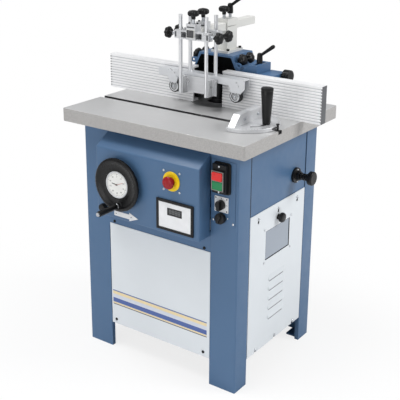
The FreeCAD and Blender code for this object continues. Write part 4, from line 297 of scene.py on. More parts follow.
@dataclass(frozen=True)
class Paint(Finish):
    """Sprayed or baked paint with a slight orange peel."""

    gloss: float = 0.42
    peel: float = 0.10
    grain: float = 420.0

    def wire(self, tree: ShaderTree) -> None:
        """Broad cloudiness in the tint, fine peel in the surface.

        Args:
            tree: the material's nodes.
        """
        tree.tint(tree.noise(scale=5.0, detail=3.0), self.shades(0.05))
        smear = tree.noise(scale=38.0, detail=3.0)
        tree.roughness(smear, self.gloss - 0.05, self.gloss + 0.06)
        tree.bump(tree.noise(self.grain, detail=1.0), self.peel, depth=0.0004)
        set_inputs(tree.shader, Specular_IOR_Level=0.4, Coat_Weight=0.08, Coat_Roughness=0.2)


@dataclass(frozen=True)
class Metal(Finish):
    """Bare metal, brushed or drawn along one axis."""

    shine: float
    draw: Point
    streak: float
    purity: float
    grain: float = 160.0
    relief: float = 0.08

    def wire(self, tree: ShaderTree) -> None:
        """Drawn streaks in tint, roughness and surface.

        Args:
            tree: the material's nodes.
        """
        streaks = tree.noise(self.grain, detail=3.0, stretch=self.draw)
        tree.tint(streaks, self.shades(self.streak))
        smear = tree.noise(scale=24.0, detail=3.0)
        tree.roughness(smear, self.shine - 0.05, self.shine + 0.1)
        tree.bump(streaks, self.relief, depth=0.0003)
        set_inputs(tree.shader, Metallic=self.purity)


@dataclass(frozen=True)
class CastIron(Finish):
    """Grey iron: ground fine on top, or rough as it came from the sand."""

    rough: float
    speck: float
    depth: float
    stretch: Point = (1, 1, 1)
    spread: float = 0.08
    purity: float = 0.35

    def wire(self, tree: ShaderTree) -> None:
        """Specks in tint and surface over broad clouds of roughness.

        Args:
            tree: the material's nodes.
        """
        specks = tree.noise(self.speck, detail=2.0, stretch=self.stretch)
        tree.tint(specks, self.shades(self.spread))
        cloud = tree.noise(scale=9.0, detail=4.0)
        tree.roughness(cloud, self.rough - 0.07, self.rough + 0.09)
        tree.bump(specks, strength=0.25, depth=self.depth)
        set_inputs(tree.shader, Metallic=self.purity)


@dataclass(frozen=True)
class Plastic(Finish):
    """Moulded plastic with a fine skin."""

    gloss: float
    skin: float = 0.12

    def wire(self, tree: ShaderTree) -> None:
        """Slight mottling and a fine moulded texture.

        Args:
            tree: the material's nodes.
        """
        tree.tint(tree.noise(scale=30.0, detail=2.0), self.shades(0.10))
        smear = tree.noise(scale=70.0, detail=2.0)
        tree.roughness(smear, self.gloss - 0.05, self.gloss + 0.08)
        tree.bump(tree.noise(scale=1100.0, detail=1.0), self.skin, depth=0.0002)
        set_inputs(tree.shader, Specular_IOR_Level=0.3)


@dataclass(frozen=True)
class Rubber(Finish):
    """Dull rubber with a worn, dusty skin."""

    def wire(self, tree: ShaderTree) -> None:
        """Dust in patches over a matt ground.

        Args:
            tree: the material's nodes.
        """
        tree.tint(tree.noise(scale=60.0, detail=4.0), self.shades(0.25))
        tree.roughness(tree.noise(scale=140.0, detail=2.0), low=0.66, high=0.84)
        tree.bump(tree.noise(scale=700.0, detail=2.0), strength=0.25, depth=0.0003)
        set_inputs(tree.shader, Specular_IOR_Level=0.3)


@dataclass(frozen=True)
class Print(Finish):
    """Printed ink or a foil strip on a cover or a face."""

    def wire(self, tree: ShaderTree) -> None:
        """Uneven ink with a soft sheen.

        Args:
            tree: the material's nodes.
        """
        tree.tint(tree.noise(scale=90.0, detail=2.0), self.shades(0.06))
        tree.roughness(tree.noise(scale=50.0, detail=2.0), low=0.34, high=0.46)
        tree.bump(tree.noise(scale=800.0, detail=1.0), strength=0.05, depth=0.0001)


@dataclass(frozen=True)
class Pane(Finish):
    """Smoked plastic pane with a bright, slightly smeared face."""

    def wire(self, tree: ShaderTree) -> None:
        """Gloss with faint smears.

        Args:
            tree: the material's nodes.
        """
        tree.tint(tree.noise(scale=7.0, detail=3.0), self.shades(0.07))
        smear = tree.noise(scale=18.0, detail=4.0, stretch=(1, 1, 0.3))
        tree.roughness(smear, low=0.07, high=0.2)
        tree.bump(tree.noise(scale=14.0, detail=1.0), strength=0.02, depth=0.001)
        set_inputs(tree.shader, Coat_Weight=0.4, Coat_Roughness=0.05)


BLUE = Paint("steel_blue_paint", (73, 105, 140))
CAST_BLUE = Paint("cast_blue_paint", (70, 104, 142), gloss=0.36, peel=0.3, grain=150.0)
WHITE = Paint("cover_white_paint", (218, 223, 227), gloss=0.4, peel=0.07)
OFF_WHITE = Paint("tower_off_white", (218, 218, 214), gloss=0.38)
MOTOR = Paint("motor_paint", (88, 92, 98), gloss=0.46, peel=0.2, grain=260.0)

# Cast iron: roughness, specks a metre, their depth, stretch, spread of tint, metal share.
GROUND = CastIron(
    "ground_table_top", (204, 204, 204), 0.39, 420.0, 0.00001, (0.06, 1, 1), 0.07, 0.45
)
# painted shade: the insert rings are a darker grey for the shadow under the hood
INSERT_RING_SHADE = CastIron(
    "insert_ring_shade", (138, 138, 139), 0.42, 420.0, 0.00001, (1, 1, 1), 0.07, 0.45
)
SAND_CAST = CastIron("sand_cast_side", (172, 170, 168), 0.6, 330.0, 0.0006, (1, 1, 1), 0.3, 0.1)
# painted shade: near-black for the shadow in the mitre slot
SLOT_SHADE = CastIron("slot_shade", (52, 52, 53), 0.6, 500.0, 0.0001)
MACHINED = CastIron("machined_iron", (138, 138, 136), 0.42, 600.0, 0.0001, (1, 1, 0.1), 0.1, 0.5)

# Metal: roughness, stretch of the streaks, spread of tint, metal share, streaks a metre, relief.
DRAWN = Metal("drawn_aluminium", (222, 223, 225), 0.3, (0.03, 1, 1), 0.07, 0.6)
# painted shade: a darker grey for the shadow on the floors of the fence's grooves
GROOVE_SHADE = Metal("fence_groove_shade", (212, 213, 215), 0.4, (0.02, 1, 1), 0.08, 0.3)
GROOVED = Metal("fence_aluminium", (248, 248, 249), 0.34, (0.02, 1, 1), 0.06, 0.25)
CAST_ALU = Metal("cast_aluminium", (214, 215, 217), 0.38, (1, 1, 1), 0.1, 0.6)
RODS = Metal("ground_rods", (226, 227, 229), 0.32, (1, 1, 0.05), 0.03, 0.9, 700.0, 0.01)
SHEET = Metal("plated_sheet", (224, 226, 229), 0.32, (0.05, 1, 1), 0.06, 0.45)
ZINC = Metal("zinc_screws", (205, 208, 212), 0.26, (1, 1, 1), 0.1, 1.0)
STEEL = Metal("turned_steel", (186, 188, 192), 0.27, (1, 1, 0.1), 0.12, 1.0)
DARK_STEEL = Metal("blackened_steel", (36, 36, 38), 0.4, (1, 1, 1), 0.2, 0.6)
# painted shade: dark grey for the fence ends, which face away from the light
END_SHADE = Metal("fence_end_shade", (96, 98, 101), 0.5, (1, 1, 1), 0.1, 0.25)

# Plastic: roughness and strength of the moulded skin.
BLACK = Plastic("black_grip_plastic", (17, 17, 18), 0.36)
WHEEL_BLACK = Plastic("handwheel_bakelite", (15, 15, 16), 0.27, 0.05)
BOX_BLACK = Plastic("switch_box_black", (20, 20, 22), 0.44)
# painted shade: near-black for the shadow inside the hood and the square tube
SHADE_LINING = Plastic("painted_shade_lining", (9, 11, 15), 0.7)
# painted shade: dark grey for the shadow in recesses, slits and grooves
RECESS_SHADE = Plastic("crosshead_recess_shade", (80, 82, 85), 0.5)
TUBE_PLUG = Plastic("tube_plug", (92, 92, 94), 0.45)
DIAL_WHITE = Plastic("dial_card", (233, 233, 230), 0.34, 0.03)
BEZEL = Plastic("dial_bezel", (203, 205, 207), 0.3, 0.05)
FACE_WHITE = Plastic("display_card", (232, 233, 235), 0.4, 0.04)
BUTTON_RIM = Plastic("button_rims", (140, 138, 134), 0.3, 0.04)
PLATE_WHITE = Plastic("selector_card", (228, 229, 230), 0.36, 0.04)
HUB_WHITE = Plastic("roller_hub", (226, 228, 230), 0.36, 0.06)
STOP_RED = Plastic("mushroom_red", (150, 22, 28), 0.24, 0.03)
BUTTON_RED = Plastic("stop_button_red", (214, 48, 46), 0.3, 0.04)
BUTTON_GREEN = Plastic("start_button_green", (38, 132, 82), 0.32, 0.04)
STOP_YELLOW = Plastic("stop_disc_yellow", (243, 206, 24), 0.36, 0.05)

TYRE = Rubber("roller_tyre", (48, 49, 51))
# the belt's black rubber, also used as painted shade in gaps, keyholes and round the pane
BELT_AND_SHADE = Rubber("belt_rubber_and_shade", (28, 28, 29))
DIGIT_GLASS = Pane("digit_glass", (40, 42, 45))
WINDOW = Pane("door_pane", (143, 153, 166))
SEGMENTS = Print("digit_segments", (104, 108, 110))
# painted shadow: grey strips below the louvres' lips
LOUVRE_SHADOW = Print("louvre_shadows", (104, 109, 116))
INK_BLACK = Print("printed_black", (34, 35, 38))
INK_RED = Print("printed_red", (178, 54, 48))
STRIPE_BLUE = Print("stripe_blue", (74, 98, 160))
STRIPE_CREAM = Print("stripe_cream", (232, 214, 168))
STRIPE_PALE = Print("stripe_pale", (208, 213, 224))
STRIPE_DARK = Print("stripe_dark", (66, 70, 92))


def round_edges(
    bm: bmesh.types.BMesh, edges: list, offset: float, segments: int, clamp: bool = False
) -> None:
    """Bevel edges to a round section.

    Args:
        bm: mesh that has the edges.
        edges: the edges.
        offset: radius of the section, in the mesh's unit.
        segments: facets round it.
        clamp: whether to stop where two bevels meet.
    """
    bmesh.ops.bevel(
        bm, geom=edges, offset=offset, offset_type="OFFSET", segments=segments, profile=0.5,
        affect="EDGES", clamp_overlap=clamp, material=-1,
    )


class Mould:
    """One piece's mesh while it is shaped, in millimetres."""

    def __init__(self) -> None:
        """Start with an empty mesh."""
        self.bm = bmesh.new()

    def block(self, x: Span, y: Span, z: Span) -> list[Vert]:
        """Add a box.

        Args:
            x: left and right.
            y: front and back.
            z: bottom and top.

        Returns:
            The box's corners.
        """
        verts = bmesh.ops.create_cube(self.bm, size=1.0)["verts"]
        size = Vector((x[1] - x[0], y[1] - y[0], z[1] - z[0]))
        middle = Vector((x[0] + x[1], y[0] + y[1], z[0] + z[1])) / 2
        bmesh.ops.scale(self.bm, vec=size, verts=verts)
        bmesh.ops.translate(self.bm, vec=middle, verts=verts)
        return verts

    def pad(self, x: Span, y: Span, z: Span, corner: float) -> None:
        """Add a plate that faces front, with round corners.

        Args:
            x: left and right.
            y: front and back.
            z: bottom and top.
            corner: radius of the corners.
        """
        verts = set(self.block(x, y, z))
        deep = [
            edge
            for edge in self.bm.edges
            if verts.issuperset(edge.verts) and abs(edge.verts[0].co.y - edge.verts[1].co.y) > 0.01
        ]
        round_edges(self.bm, deep, corner, segments=6)

    def bulge(self, profile: Profile, face: float, lip: float, half: float, end: float) -> None:
        """Add a pressed hood on a face that looks right, with closed round ends.

        Args:
            profile: height over the lip and depth of each point, from the top down to the lip.
            face: place of the sheet's face.
            lip: height of the lip.
            half: half of the hood's width.
            end: length of its round ends.
        """
        last = len(profile) - 1
        verts = bmesh.ops.create_grid(self.bm, x_segments=last, y_segments=48, size=1.0)["verts"]
        for vert in verts:
            rise, proud = profile[round((vert.co.x + 1) / 2 * last)]
            reach = max(0.0, abs(vert.co.y) * half - (half - end)) / end
            ease = math.sqrt(max(0.0, 1 - reach * reach))
            vert.co = Vector((face + proud * ease, vert.co.y * half, lip + rise))
        rim = [edge for edge in self.bm.edges if edge.is_boundary]
        bmesh.ops.holes_fill(self.bm, edges=rim, sides=0)

    def turn(self, profile: Profile, foot: Point, axis: Axis | Vector, steps: int) -> list[Vert]:
        """Add a turned shape.

        Args:
            profile: radius and height of each point, from the axis round to the axis.
            foot: point on the axis where the height is 0.
            axis: direction of growing height.
            steps: facets round the axis.

        Returns:
            The shape's vertices.
        """
        known = set(self.bm.verts)
        along = axis.vector() if isinstance(axis, Axis) else axis.normalized()
        out, base = along.orthogonal().normalized(), Vector(foot)
        chain = [self.bm.verts.new(base + out * r + along * h) for r, h in profile]
        edges = [self.bm.edges.new(pair) for pair in zip(chain, chain[1:])]
        bmesh.ops.spin(
            self.bm, geom=chain + edges, cent=base, axis=along, angle=FULL_TURN, steps=steps,
            use_merge=True,
        )
        verts = [vert for vert in self.bm.verts if vert not in known]
        bmesh.ops.remove_doubles(self.bm, verts=verts, dist=0.001)
        return [vert for vert in self.bm.verts if vert not in known]

    def slab(self, outline: Sequence[Point], push: Point) -> None:
        """Add a plate from its outline.

        Args:
            outline: corners of one face, in order.
            push: thickness and direction of the plate.
        """
        face = self.bm.faces.new([self.bm.verts.new(corner) for corner in outline])
        grown = bmesh.ops.extrude_face_region(self.bm, geom=[face], use_keep_orig=True)["geom"]
        far = [item for item in grown if isinstance(item, Vert)]
        bmesh.ops.translate(self.bm, vec=Vector(push), verts=far)

    def spin(self, verts: list[Vert], degrees: float, axis: Axis, centre: Point) -> None:
        """Turn vertices about an axis through a centre."""
        matrix = Matrix.Rotation(math.radians(degrees), 3, axis.vector())
        bmesh.ops.rotate(self.bm, verts=verts, cent=Vector(centre), matrix=matrix)

    def lobe(
        self, verts: Iterable[Vert], foot: Point, along: Vector, count: int, depth: float
    ) -> None:
        """Press finger hollows into a turned shape.

        Args:
            verts: vertices of the shape.
            foot: point on its axis.
            along: direction of its axis.
            count: number of lobes.
            depth: share of the radius that a hollow takes away.
        """
        base, axis = Vector(foot), along.normalized()
        zero = axis.orthogonal().normalized()
        side = axis.cross(zero)
        for vert in verts:
            rise = (vert.co - base).dot(axis)
            out = vert.co - base - axis * rise
            angle = math.atan2(out.dot(side), out.dot(zero))
            share = depth * (0.5 - 0.5 * math.cos(count * angle)) ** 2
            vert.co = base + axis * rise + out * (1 - share)

    def words(self, text: str, size: float, place: Point) -> None:
        """Add raised figures that read from the front.

        Args:
            text: the figures.
            size: height of the type.
            place: middle of the text.
        """
        curve = bpy.data.curves.new("figures", "FONT")
        curve.body = text
        curve.size = size
        curve.extrude = 0.06
        curve.align_x = curve.align_y = "CENTER"
        holder = bpy.data.objects.new("figures", curve)
        mesh = bpy.data.meshes.new_from_object(holder)
        bpy.data.objects.remove(holder)
        bpy.data.curves.remove(curve)
        upright = Matrix.Rotation(math.radians(90), 4, "X")
        mesh.transform(Matrix.Translation(Vector(place)) @ upright)
        self.bm.from_mesh(mesh)
        bpy.data.meshes.remove(mesh)

    def mesh(self, name: str) -> bpy.types.Mesh:
        """Close the work and give the mesh in metres.

        Args:
            name: name of the mesh.

        Returns:
            The finished mesh, smooth but for its sharp edges.
        """
        bmesh.ops.scale(self.bm, vec=Vector((MM, MM, MM)), verts=self.bm.verts)
        bmesh.ops.recalc_face_normals(self.bm, faces=self.bm.faces)
        return settle(self.bm, name)


def turned(profile: Profile, feet: Iterable[Point], axis: Axis, steps: int) -> Mould:
    """Turn the same shape at several places.

    Args:
        profile: radius and height of each point.
        feet: point on the axis of each.
        axis: direction of growing height.
        steps: facets round the axis.

    Returns:
        The mould with all of them.
    """
    mould = Mould()
    for foot in feet:
        mould.turn(profile, foot, axis, steps)
    return mould


def boxed(boxes: Iterable[Box]) -> Mould:
    """Put several boxes into one mould.

    Args:
        boxes: spans of each box along the three axes.

    Returns:
        The mould with all of them.
    """
    mould = Mould()
    for x, y, z in boxes:
        mould.block(x, y, z)
    return mould


def disc(radius: float, height: float) -> Profile:
    """Profile of a plain disc or pin."""
    return [(0, 0), (radius, 0), (radius, height), (0, height)]


def button_head(radius: float, height: float, socket: float) -> Profile:
    """Profile of a round screw head with a socket.

    Args:
        radius: head radius.
        height: head height.
        socket: socket radius.

    Returns:
        Radius and height of each point.
    """
    floor = height * 0.45
    crown = [(radius * 0.66, height * 0.97), (radius * 0.9, height * 0.66), (radius, height * 0.22)]
    return [(0, floor), (socket, floor), (socket * 1.05, height), *crown, (radius, 0), (0, 0)]


def settle(bm: bmesh.types.BMesh, name: str) -> bpy.types.Mesh:
    """Turn a worked mesh into mesh data with smooth shading and sharp edges.

    Args:
        bm: the worked mesh, in metres; it is freed.
        name: name of the mesh.

    Returns:
        The mesh data.
    """
    for face in bm.faces:
        face.smooth = True
    mesh = bpy.data.meshes.new(name)
    bm.to_mesh(mesh)
    bm.free()
    for left_over in ("custom_normal", "sharp_face"):
        if left_over in mesh.attributes:
            mesh.attributes.remove(mesh.attributes[left_over])
    mesh.set_sharp_from_angle(angle=SHARP)
    return mesh


@dataclass(frozen=True)
class Zone:
    """Part of a piece that has a finish of its own."""

    finish: Finish
    where: Where


class Workshop:
    """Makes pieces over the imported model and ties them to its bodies."""

    def __init__(self, frame: dict) -> None:
        """Read which body and which slot each node has.

        Args:
            frame: the loaded frame.
        """
        self.nodes = frame["nodes"]
        record = frame["record"]
        bodies = record["behaviour"]["bodies"]
        self.body_of = {node: body for body, nodes in bodies.items() for node in nodes}
        self.slot_of = {part["node"]: part["material_slot"] for part in record["subparts"]}

    def place(
        self, mesh: bpy.types.Mesh, body: str, slot: str, round_off: float
    ) -> bpy.types.Object:
        """Put a mesh into the scene as a piece.

        Args:
            mesh: mesh with its materials.
            body: body that carries the piece.
            slot: record slot of its finish; not used.
            round_off: edge rounding in millimetres, or 0.

        Returns:
            The piece.
        """
        piece = bpy.data.objects.new(mesh.name, mesh)
        bpy.context.scene.collection.objects.link(piece)
        if round_off > 0:
            rounding = piece.modifiers.new("rounding", "BEVEL")
            rounding.width = round_off * MM
            rounding.segments = 2
            rounding.limit_method = "ANGLE"
            rounding.angle_limit = SHARP
            rounding.harden_normals = True
        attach(piece, body)
        log.info("%s rides on %s", piece.name, body)
        return piece

    def sheath(
        self,
        node: str,
        finish: Finish,
        round_off: float = 0.6,
        zones: Sequence[Zone] = (),
        drop: Where | None = None,
        bends: Sequence[Plane] = (),
        part_at: float | None = None,
    ) -> bpy.types.Object:
        """Dress a node: a clean copy of its solid with rounded edges and real finishes.

        Args:
            node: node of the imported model.
            finish: finish of the piece.
            round_off: edge rounding in millimetres.
            zones: parts with another finish, tested at each face's middle and normal.
            drop: faces that another piece stands for.
            bends: outer planes of folded sheet; an edge that two of them share is a round bend.
            part_at: place across the piece where flat faces are parted, through an opening.

        Returns:
            The piece that stands for the node.
        """
        bm = bmesh.new()
        bm.from_mesh(self.nodes[node].data)
        bmesh.ops.remove_doubles(bm, verts=bm.verts, dist=WELD)
        if part_at is not None:
            self.part(bm, part_at)
        bm.normal_update()
        gone = []
        for face in bm.faces:
            middle, normal = face.calc_center_median() / MM, face.normal
            face.material_index = 0
            for index, zone in enumerate(zones, start=1):
                if zone.where(middle, normal):
                    face.material_index = index
            if drop is not None and drop(middle, normal):
                gone.append(face)
        if gone:
            bmesh.ops.delete(bm, geom=gone, context="FACES")
        bmesh.ops.dissolve_limit(
            bm, angle_limit=FLAT, verts=bm.verts, edges=bm.edges, delimit={"MATERIAL", "SEAM"}
        )
        if bends:
            self.fold(bm, bends)
        mesh = settle(bm, f"{node}_dressed")
        for part in (finish, *(zone.finish for zone in zones)):
            mesh.materials.append(part.material())
        piece = self.place(mesh, self.body_of[node], self.slot_of[node], round_off)
        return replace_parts(piece, node)

    def part(self, bm: bmesh.types.BMesh, x: float) -> None:
        """Part every face at a place across a mesh, and keep the cut as a seam.

        Args:
            bm: mesh in metres.
            x: the place, in millimetres.
        """
        cut = bmesh.ops.bisect_plane(
            bm,
            geom=[*bm.verts, *bm.edges, *bm.faces],
            plane_co=Vector((x * MM, 0, 0)),
            plane_no=Axis.RIGHT.vector(),
        )["geom_cut"]
        for item in cut:
            if isinstance(item, bmesh.types.BMEdge):
                item.seam = True

    def fold(self, bm: bmesh.types.BMesh, planes: Sequence[Plane]) -> None:
        """Round the edges where two outer planes of a folded sheet meet.

        Args:
            bm: mesh in metres.
            planes: direction of each plane and its distance from the origin in millimetres.
        """

        def holds(plane: Plane, edge: bmesh.types.BMEdge) -> bool:
            """Whether an edge lies in a plane."""
            out = Vector(plane[0]).normalized()
            return all(abs(vert.co.dot(out) / MM - plane[1]) < FOLD_ROOM for vert in edge.verts)

        edges = [edge for edge in bm.edges if sum(holds(plane, edge) for plane in planes) > 1]
        round_edges(bm, edges, FOLD_RADIUS * MM, segments=4, clamp=True)

    def piece(
        self,
        name: str,
        mould: Mould,
        finish: Finish,
        carrier: str,
        slot: Slot,
        round_off: float = 0.0,
        stands: bool = False,
    ) -> None:
        """Add a piece of its own.

        Args:
            name: name of the piece.
            mould: its shape.
            finish: its finish.
            carrier: node whose body carries it.
            slot: record slot of its finish.
            round_off: edge rounding in millimetres.
            stands: whether it stands for its carrier.
        """
        mesh = mould.mesh(name)
        mesh.materials.append(finish.material())
        made = self.place(mesh, self.body_of[carrier], slot.value, round_off)
        if stands:
            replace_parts(made, carrier)


@dataclass
class Assembly:
    """A group of pieces that a workshop makes."""

    shop: Workshop

    def __post_init__(self) -> None:
        """Take over the workshop's two ways of making a piece."""
        self.piece, self.sheath = self.shop.piece, self.shop.sheath

    def build(self) -> None:
        """Make every piece of the group."""
        raise NotImplementedError


KNOB_GRIP = (  # heights over the neck
    (0, -8.5), (6.0, -8.5), (6.6, -7.0), (6.8, -1.0), (9.0, 0.6), (15.2, 1.8), (18.2, 4.6),
    (18.9, 8.4), (18.6, 12.4), (16.6, 16.0), (12.4, 18.6), (6.4, 19.8), (0, 20.0),
)
KNOB_LOBES = 7
KNOB_HOLLOW = 0.17  # share of the radius
KNOB_HUB = 8.0  # radius without hollows, and depth of the stud in the grip


@dataclass
class HandKnob(Assembly):
    """Lobed hand knob on its stud."""

    node: str
    name: str
    seat: Point
    along: Vector
    neck: float = 22.0
    tail: float = 10.0

    def build(self) -> None:
        """Turn the grip and the stud."""
        grip, stud, seat = Mould(), Mould(), Vector(self.seat)
        profile = [(radius, self.neck + height) for radius, height in KNOB_GRIP]
        verts = grip.turn(profile, self.seat, self.along, 84)
        wide = [vert for vert in verts if (vert.co - seat).cross(self.along).length > KNOB_HUB]
        grip.lobe(wide, self.seat, self.along, KNOB_LOBES, KNOB_HOLLOW)
        self.piece(f"{self.name}_grip", grip, BLACK, self.node, Slot.BLACK, stands=True)
        low, high = -self.tail, self.neck - KNOB_HUB
        pin = [(0, low), (4.0, low), (4.0, 0.4), (5.0, 0.4), (5.0, high), (0, high)]
        stud.turn(pin, self.seat, self.along, 32)
        self.piece(f"{self.name}_stud", stud, ZINC, self.node, Slot.STEEL)


LEVER_HUB = (
    (0, 0), (8.8, 0), (9.8, 1.4), (10.0, 7.0), (9.2, 20.0), (9.0, 27.0), (8.0, 31.0), (5.2, 33.6),
    (0, 34.0),
)
LEVER_ARM = (
    (0, 2.0), (5.0, 3.0), (4.9, 12.0), (5.2, 26.0), (6.2, 52.0), (6.5, 58.0), (6.1, 62.4),
    (4.4, 65.2), (0, 66.0),
)
LEVER_ROOT = 24.0  # height of the arm's root in the hub
LEVER_TILT = math.radians(54.0)


@dataclass
class ClampLever(Assembly):
    """Clamp lever: a hub on a stud, with a tapered arm."""

    node: str
    foot: Point
    tail: float

    def build(self) -> None:
        """Turn the hub, the arm and the stud."""
        x, y, z = self.foot
        grip = turned(LEVER_HUB, [self.foot], Axis.UP, 48)
        along = Vector((math.sin(LEVER_TILT), 0, math.cos(LEVER_TILT)))
        grip.turn(LEVER_ARM, (x, y, z + LEVER_ROOT), along, 40)
        self.piece(f"{self.node}_grip", grip, BLACK, self.node, Slot.BLACK, stands=True)
        stud = turned(disc(5.0, self.tail), [self.foot], Axis.DOWN, 32)
        self.piece(f"{self.node}_stud", stud, ZINC, self.node, Slot.STEEL)


@dataclass
class Studio:
    """Floor, light and camera, in metres."""

    target: Point = (0.02, -0.02, 0.56)
    camera_place: Point = (1.5686, -2.2275, 1.5696)
    azimuth: float = 35.27
    elevation: float = 17.86
    roll: float = 0.41
    lens: float = 77.47
    sensor: float = 36.0
    shift: float = -0.125
    far_end: float = 200.0
    floor_half: float = 30.0
    floor_depth: float = 0.008
    floor_grey: float = 0.93
    sky: Colour = (0.97, 0.98, 1.0, 1)
    fill: float = 0.42
    near: float = 0.8
    clear: Span = (0.45, 1.3)

    def build(self) -> None:
        """Set up the whole studio."""
        bpy.context.scene.view_settings.view_transform = "Standard"
        self.lay_floor()
        self.light_world()
        self.hang_lamp("key", (-1.2, -1.4, 4.8), size=2.2, watts=130.0)
        self.hang_lamp("side", (3.1, 1.3, 2.9), size=1.6, watts=84.0)
        self.hang_lamp("front", (0.0, -4.4, 0.8), size=2.6, watts=42.0)
        self.set_camera()

    def seen_rays(self, tree: bpy.types.NodeTree) -> Socket:
        """Find the rays that look at the background.

        Args:
            tree: node tree to work in.

        Returns:
            1 for camera and transmission rays, 0 for the rest.
        """
        path = add_node(tree, "ShaderNodeLightPath")
        either = add_node(tree, "ShaderNodeMath")
        either.operation = "MAXIMUM"
        tree.links.new(path.outputs["Is Camera Ray"], either.inputs[0])
        tree.links.new(path.outputs["Is Transmission Ray"], either.inputs[1])
        return either.outputs[0]

    def whiteness(self, tree: bpy.types.NodeTree) -> Socket:
        """Find how white the floor shows: more so away from the machine.

        Args:
            tree: node tree to work in.

        Returns:
            Share of plain white.
        """
        place = add_node(tree, "ShaderNodeTexCoord")
        reach = add_node(tree, "ShaderNodeVectorMath")
        reach.operation = "LENGTH"
        tree.links.new(place.outputs["Object"], reach.inputs[0])
        start, stop = self.clear
        share = add_node(
            tree, "ShaderNodeMapRange", From_Min=start, From_Max=stop, To_Min=self.near, To_Max=1.0
        )
        share.interpolation_type = "SMOOTHSTEP"
        tree.links.new(reach.outputs["Value"], share.inputs["Value"])
        return share.outputs["Result"]

    def blend(self, tree: bpy.types.NodeTree, share: Socket, base: Socket, white: Socket) -> None:
        """Show one shader over another.

        Args:
            tree: node tree to work in.
            share: share of the white shader.
            base: shader that gives the light.
            white: shader that is seen.
        """
        output = next(node for node in tree.nodes if node.type.startswith("OUTPUT_"))
        mix = add_node(tree, "ShaderNodeMixShader")
        for socket, source in zip(mix.inputs, (share, base, white)):
            tree.links.new(source, socket)
        tree.links.new(mix.outputs[0], output.inputs["Surface"])

    def lay_floor(self) -> None:
        """A wide pale floor that is white where no shadow falls."""
        mould = Mould()
        half, depth = self.floor_half / MM, self.floor_depth / MM
        corners = ((-half, -half), (half, -half), (half, half), (-half, half))
        mould.slab([(x, y, -depth) for x, y in corners], (0, 0, depth))
        mesh = mould.mesh("floor")
        material = bpy.data.materials.new("pale_floor")
        material.use_nodes = True
        tree = material.node_tree
        grey = (self.floor_grey, self.floor_grey, self.floor_grey, 1)
        shader = find_node(tree, "BSDF_PRINCIPLED")
        set_inputs(shader, Base_Color=grey, Roughness=0.9, Specular_IOR_Level=0.1)
        glow = add_node(tree, "ShaderNodeEmission", Strength=1.0)
        share = add_node(tree, "ShaderNodeMath")
        share.operation = "MULTIPLY"
        tree.links.new(self.seen_rays(tree), share.inputs[0])
        tree.links.new(self.whiteness(tree), share.inputs[1])
        self.blend(tree, share.outputs[0], shader.outputs[0], glow.outputs[0])
        mesh.materials.append(material)
        floor = bpy.data.objects.new("floor", mesh)
        bpy.context.scene.collection.objects.link(floor)

    def light_world(self) -> None:
        """Even light all round, white where the camera sees it."""
        world = bpy.data.worlds.new("studio")
        world.use_nodes = True
        bpy.context.scene.world = world
        tree = world.node_tree
        even = find_node(tree, "BACKGROUND")
        set_inputs(even, Color=self.sky, Strength=self.fill)
        white = add_node(tree, "ShaderNodeBackground", Color=(1, 1, 1, 1), Strength=1.0)
        self.blend(tree, self.seen_rays(tree), even.outputs[0], white.outputs[0])

    def hang_lamp(self, name: str, place: Point, size: float, watts: float) -> None:
        """Hang a soft lamp that looks at the machine.

        Args:
            name: name of the lamp.
            place: where it hangs.
            size: side of its square face.
            watts: its power.
        """
        lamp = bpy.data.lights.new(name, "AREA")
        lamp.energy = watts
        lamp.size = size
        holder = bpy.data.objects.new(name, lamp)
        holder.location = place
        look = Vector(self.target) - Vector(place)
        holder.rotation_euler = look.to_track_quat("-Z", "Y").to_euler()
        bpy.context.scene.collection.objects.link(holder)

    def set_camera(self) -> None:
        """Stand the camera at the photograph's place."""
        turn, lift, lean = map(math.radians, (self.azimuth, self.elevation, self.roll))
        level = math.cos(lift)
        back = Vector((math.sin(turn) * level, -math.cos(turn) * level, math.sin(lift)))
        right = (-back).cross(Axis.UP.vector()).normalized()
        up = right.cross(-back)
        across = right * math.cos(lean) + up * math.sin(lean)
        tall = up * math.cos(lean) - right * math.sin(lean)
        pose = Matrix((across, tall, back)).transposed().to_4x4()
        pose.translation = Vector(self.camera_place)
        camera = bpy.data.cameras.new("camera")
        camera.sensor_width = self.sensor
        camera.lens = self.lens
        camera.shift_y = self.shift
        camera.clip_end = self.far_end
        holder = bpy.data.objects.new("camera", camera)
        holder.matrix_world = pose
        bpy.context.scene.collection.objects.link(holder)
        bpy.context.scene.camera = holder


BAND = (  # rows of the front cover's band: name, bottom, top, ink
    ("upper_blue", 216.4, 220.0, STRIPE_BLUE),
    ("upper_cream", 205.4, 216.0, STRIPE_CREAM),
    ("middle_pale", 191.6, 205.0, STRIPE_PALE),
    ("wide_blue", 175.4, 191.2, STRIPE_BLUE),
    ("lower_cream", 169.8, 174.6, STRIPE_CREAM),
    ("lower_dark", 166.4, 169.2, STRIPE_DARK),
)


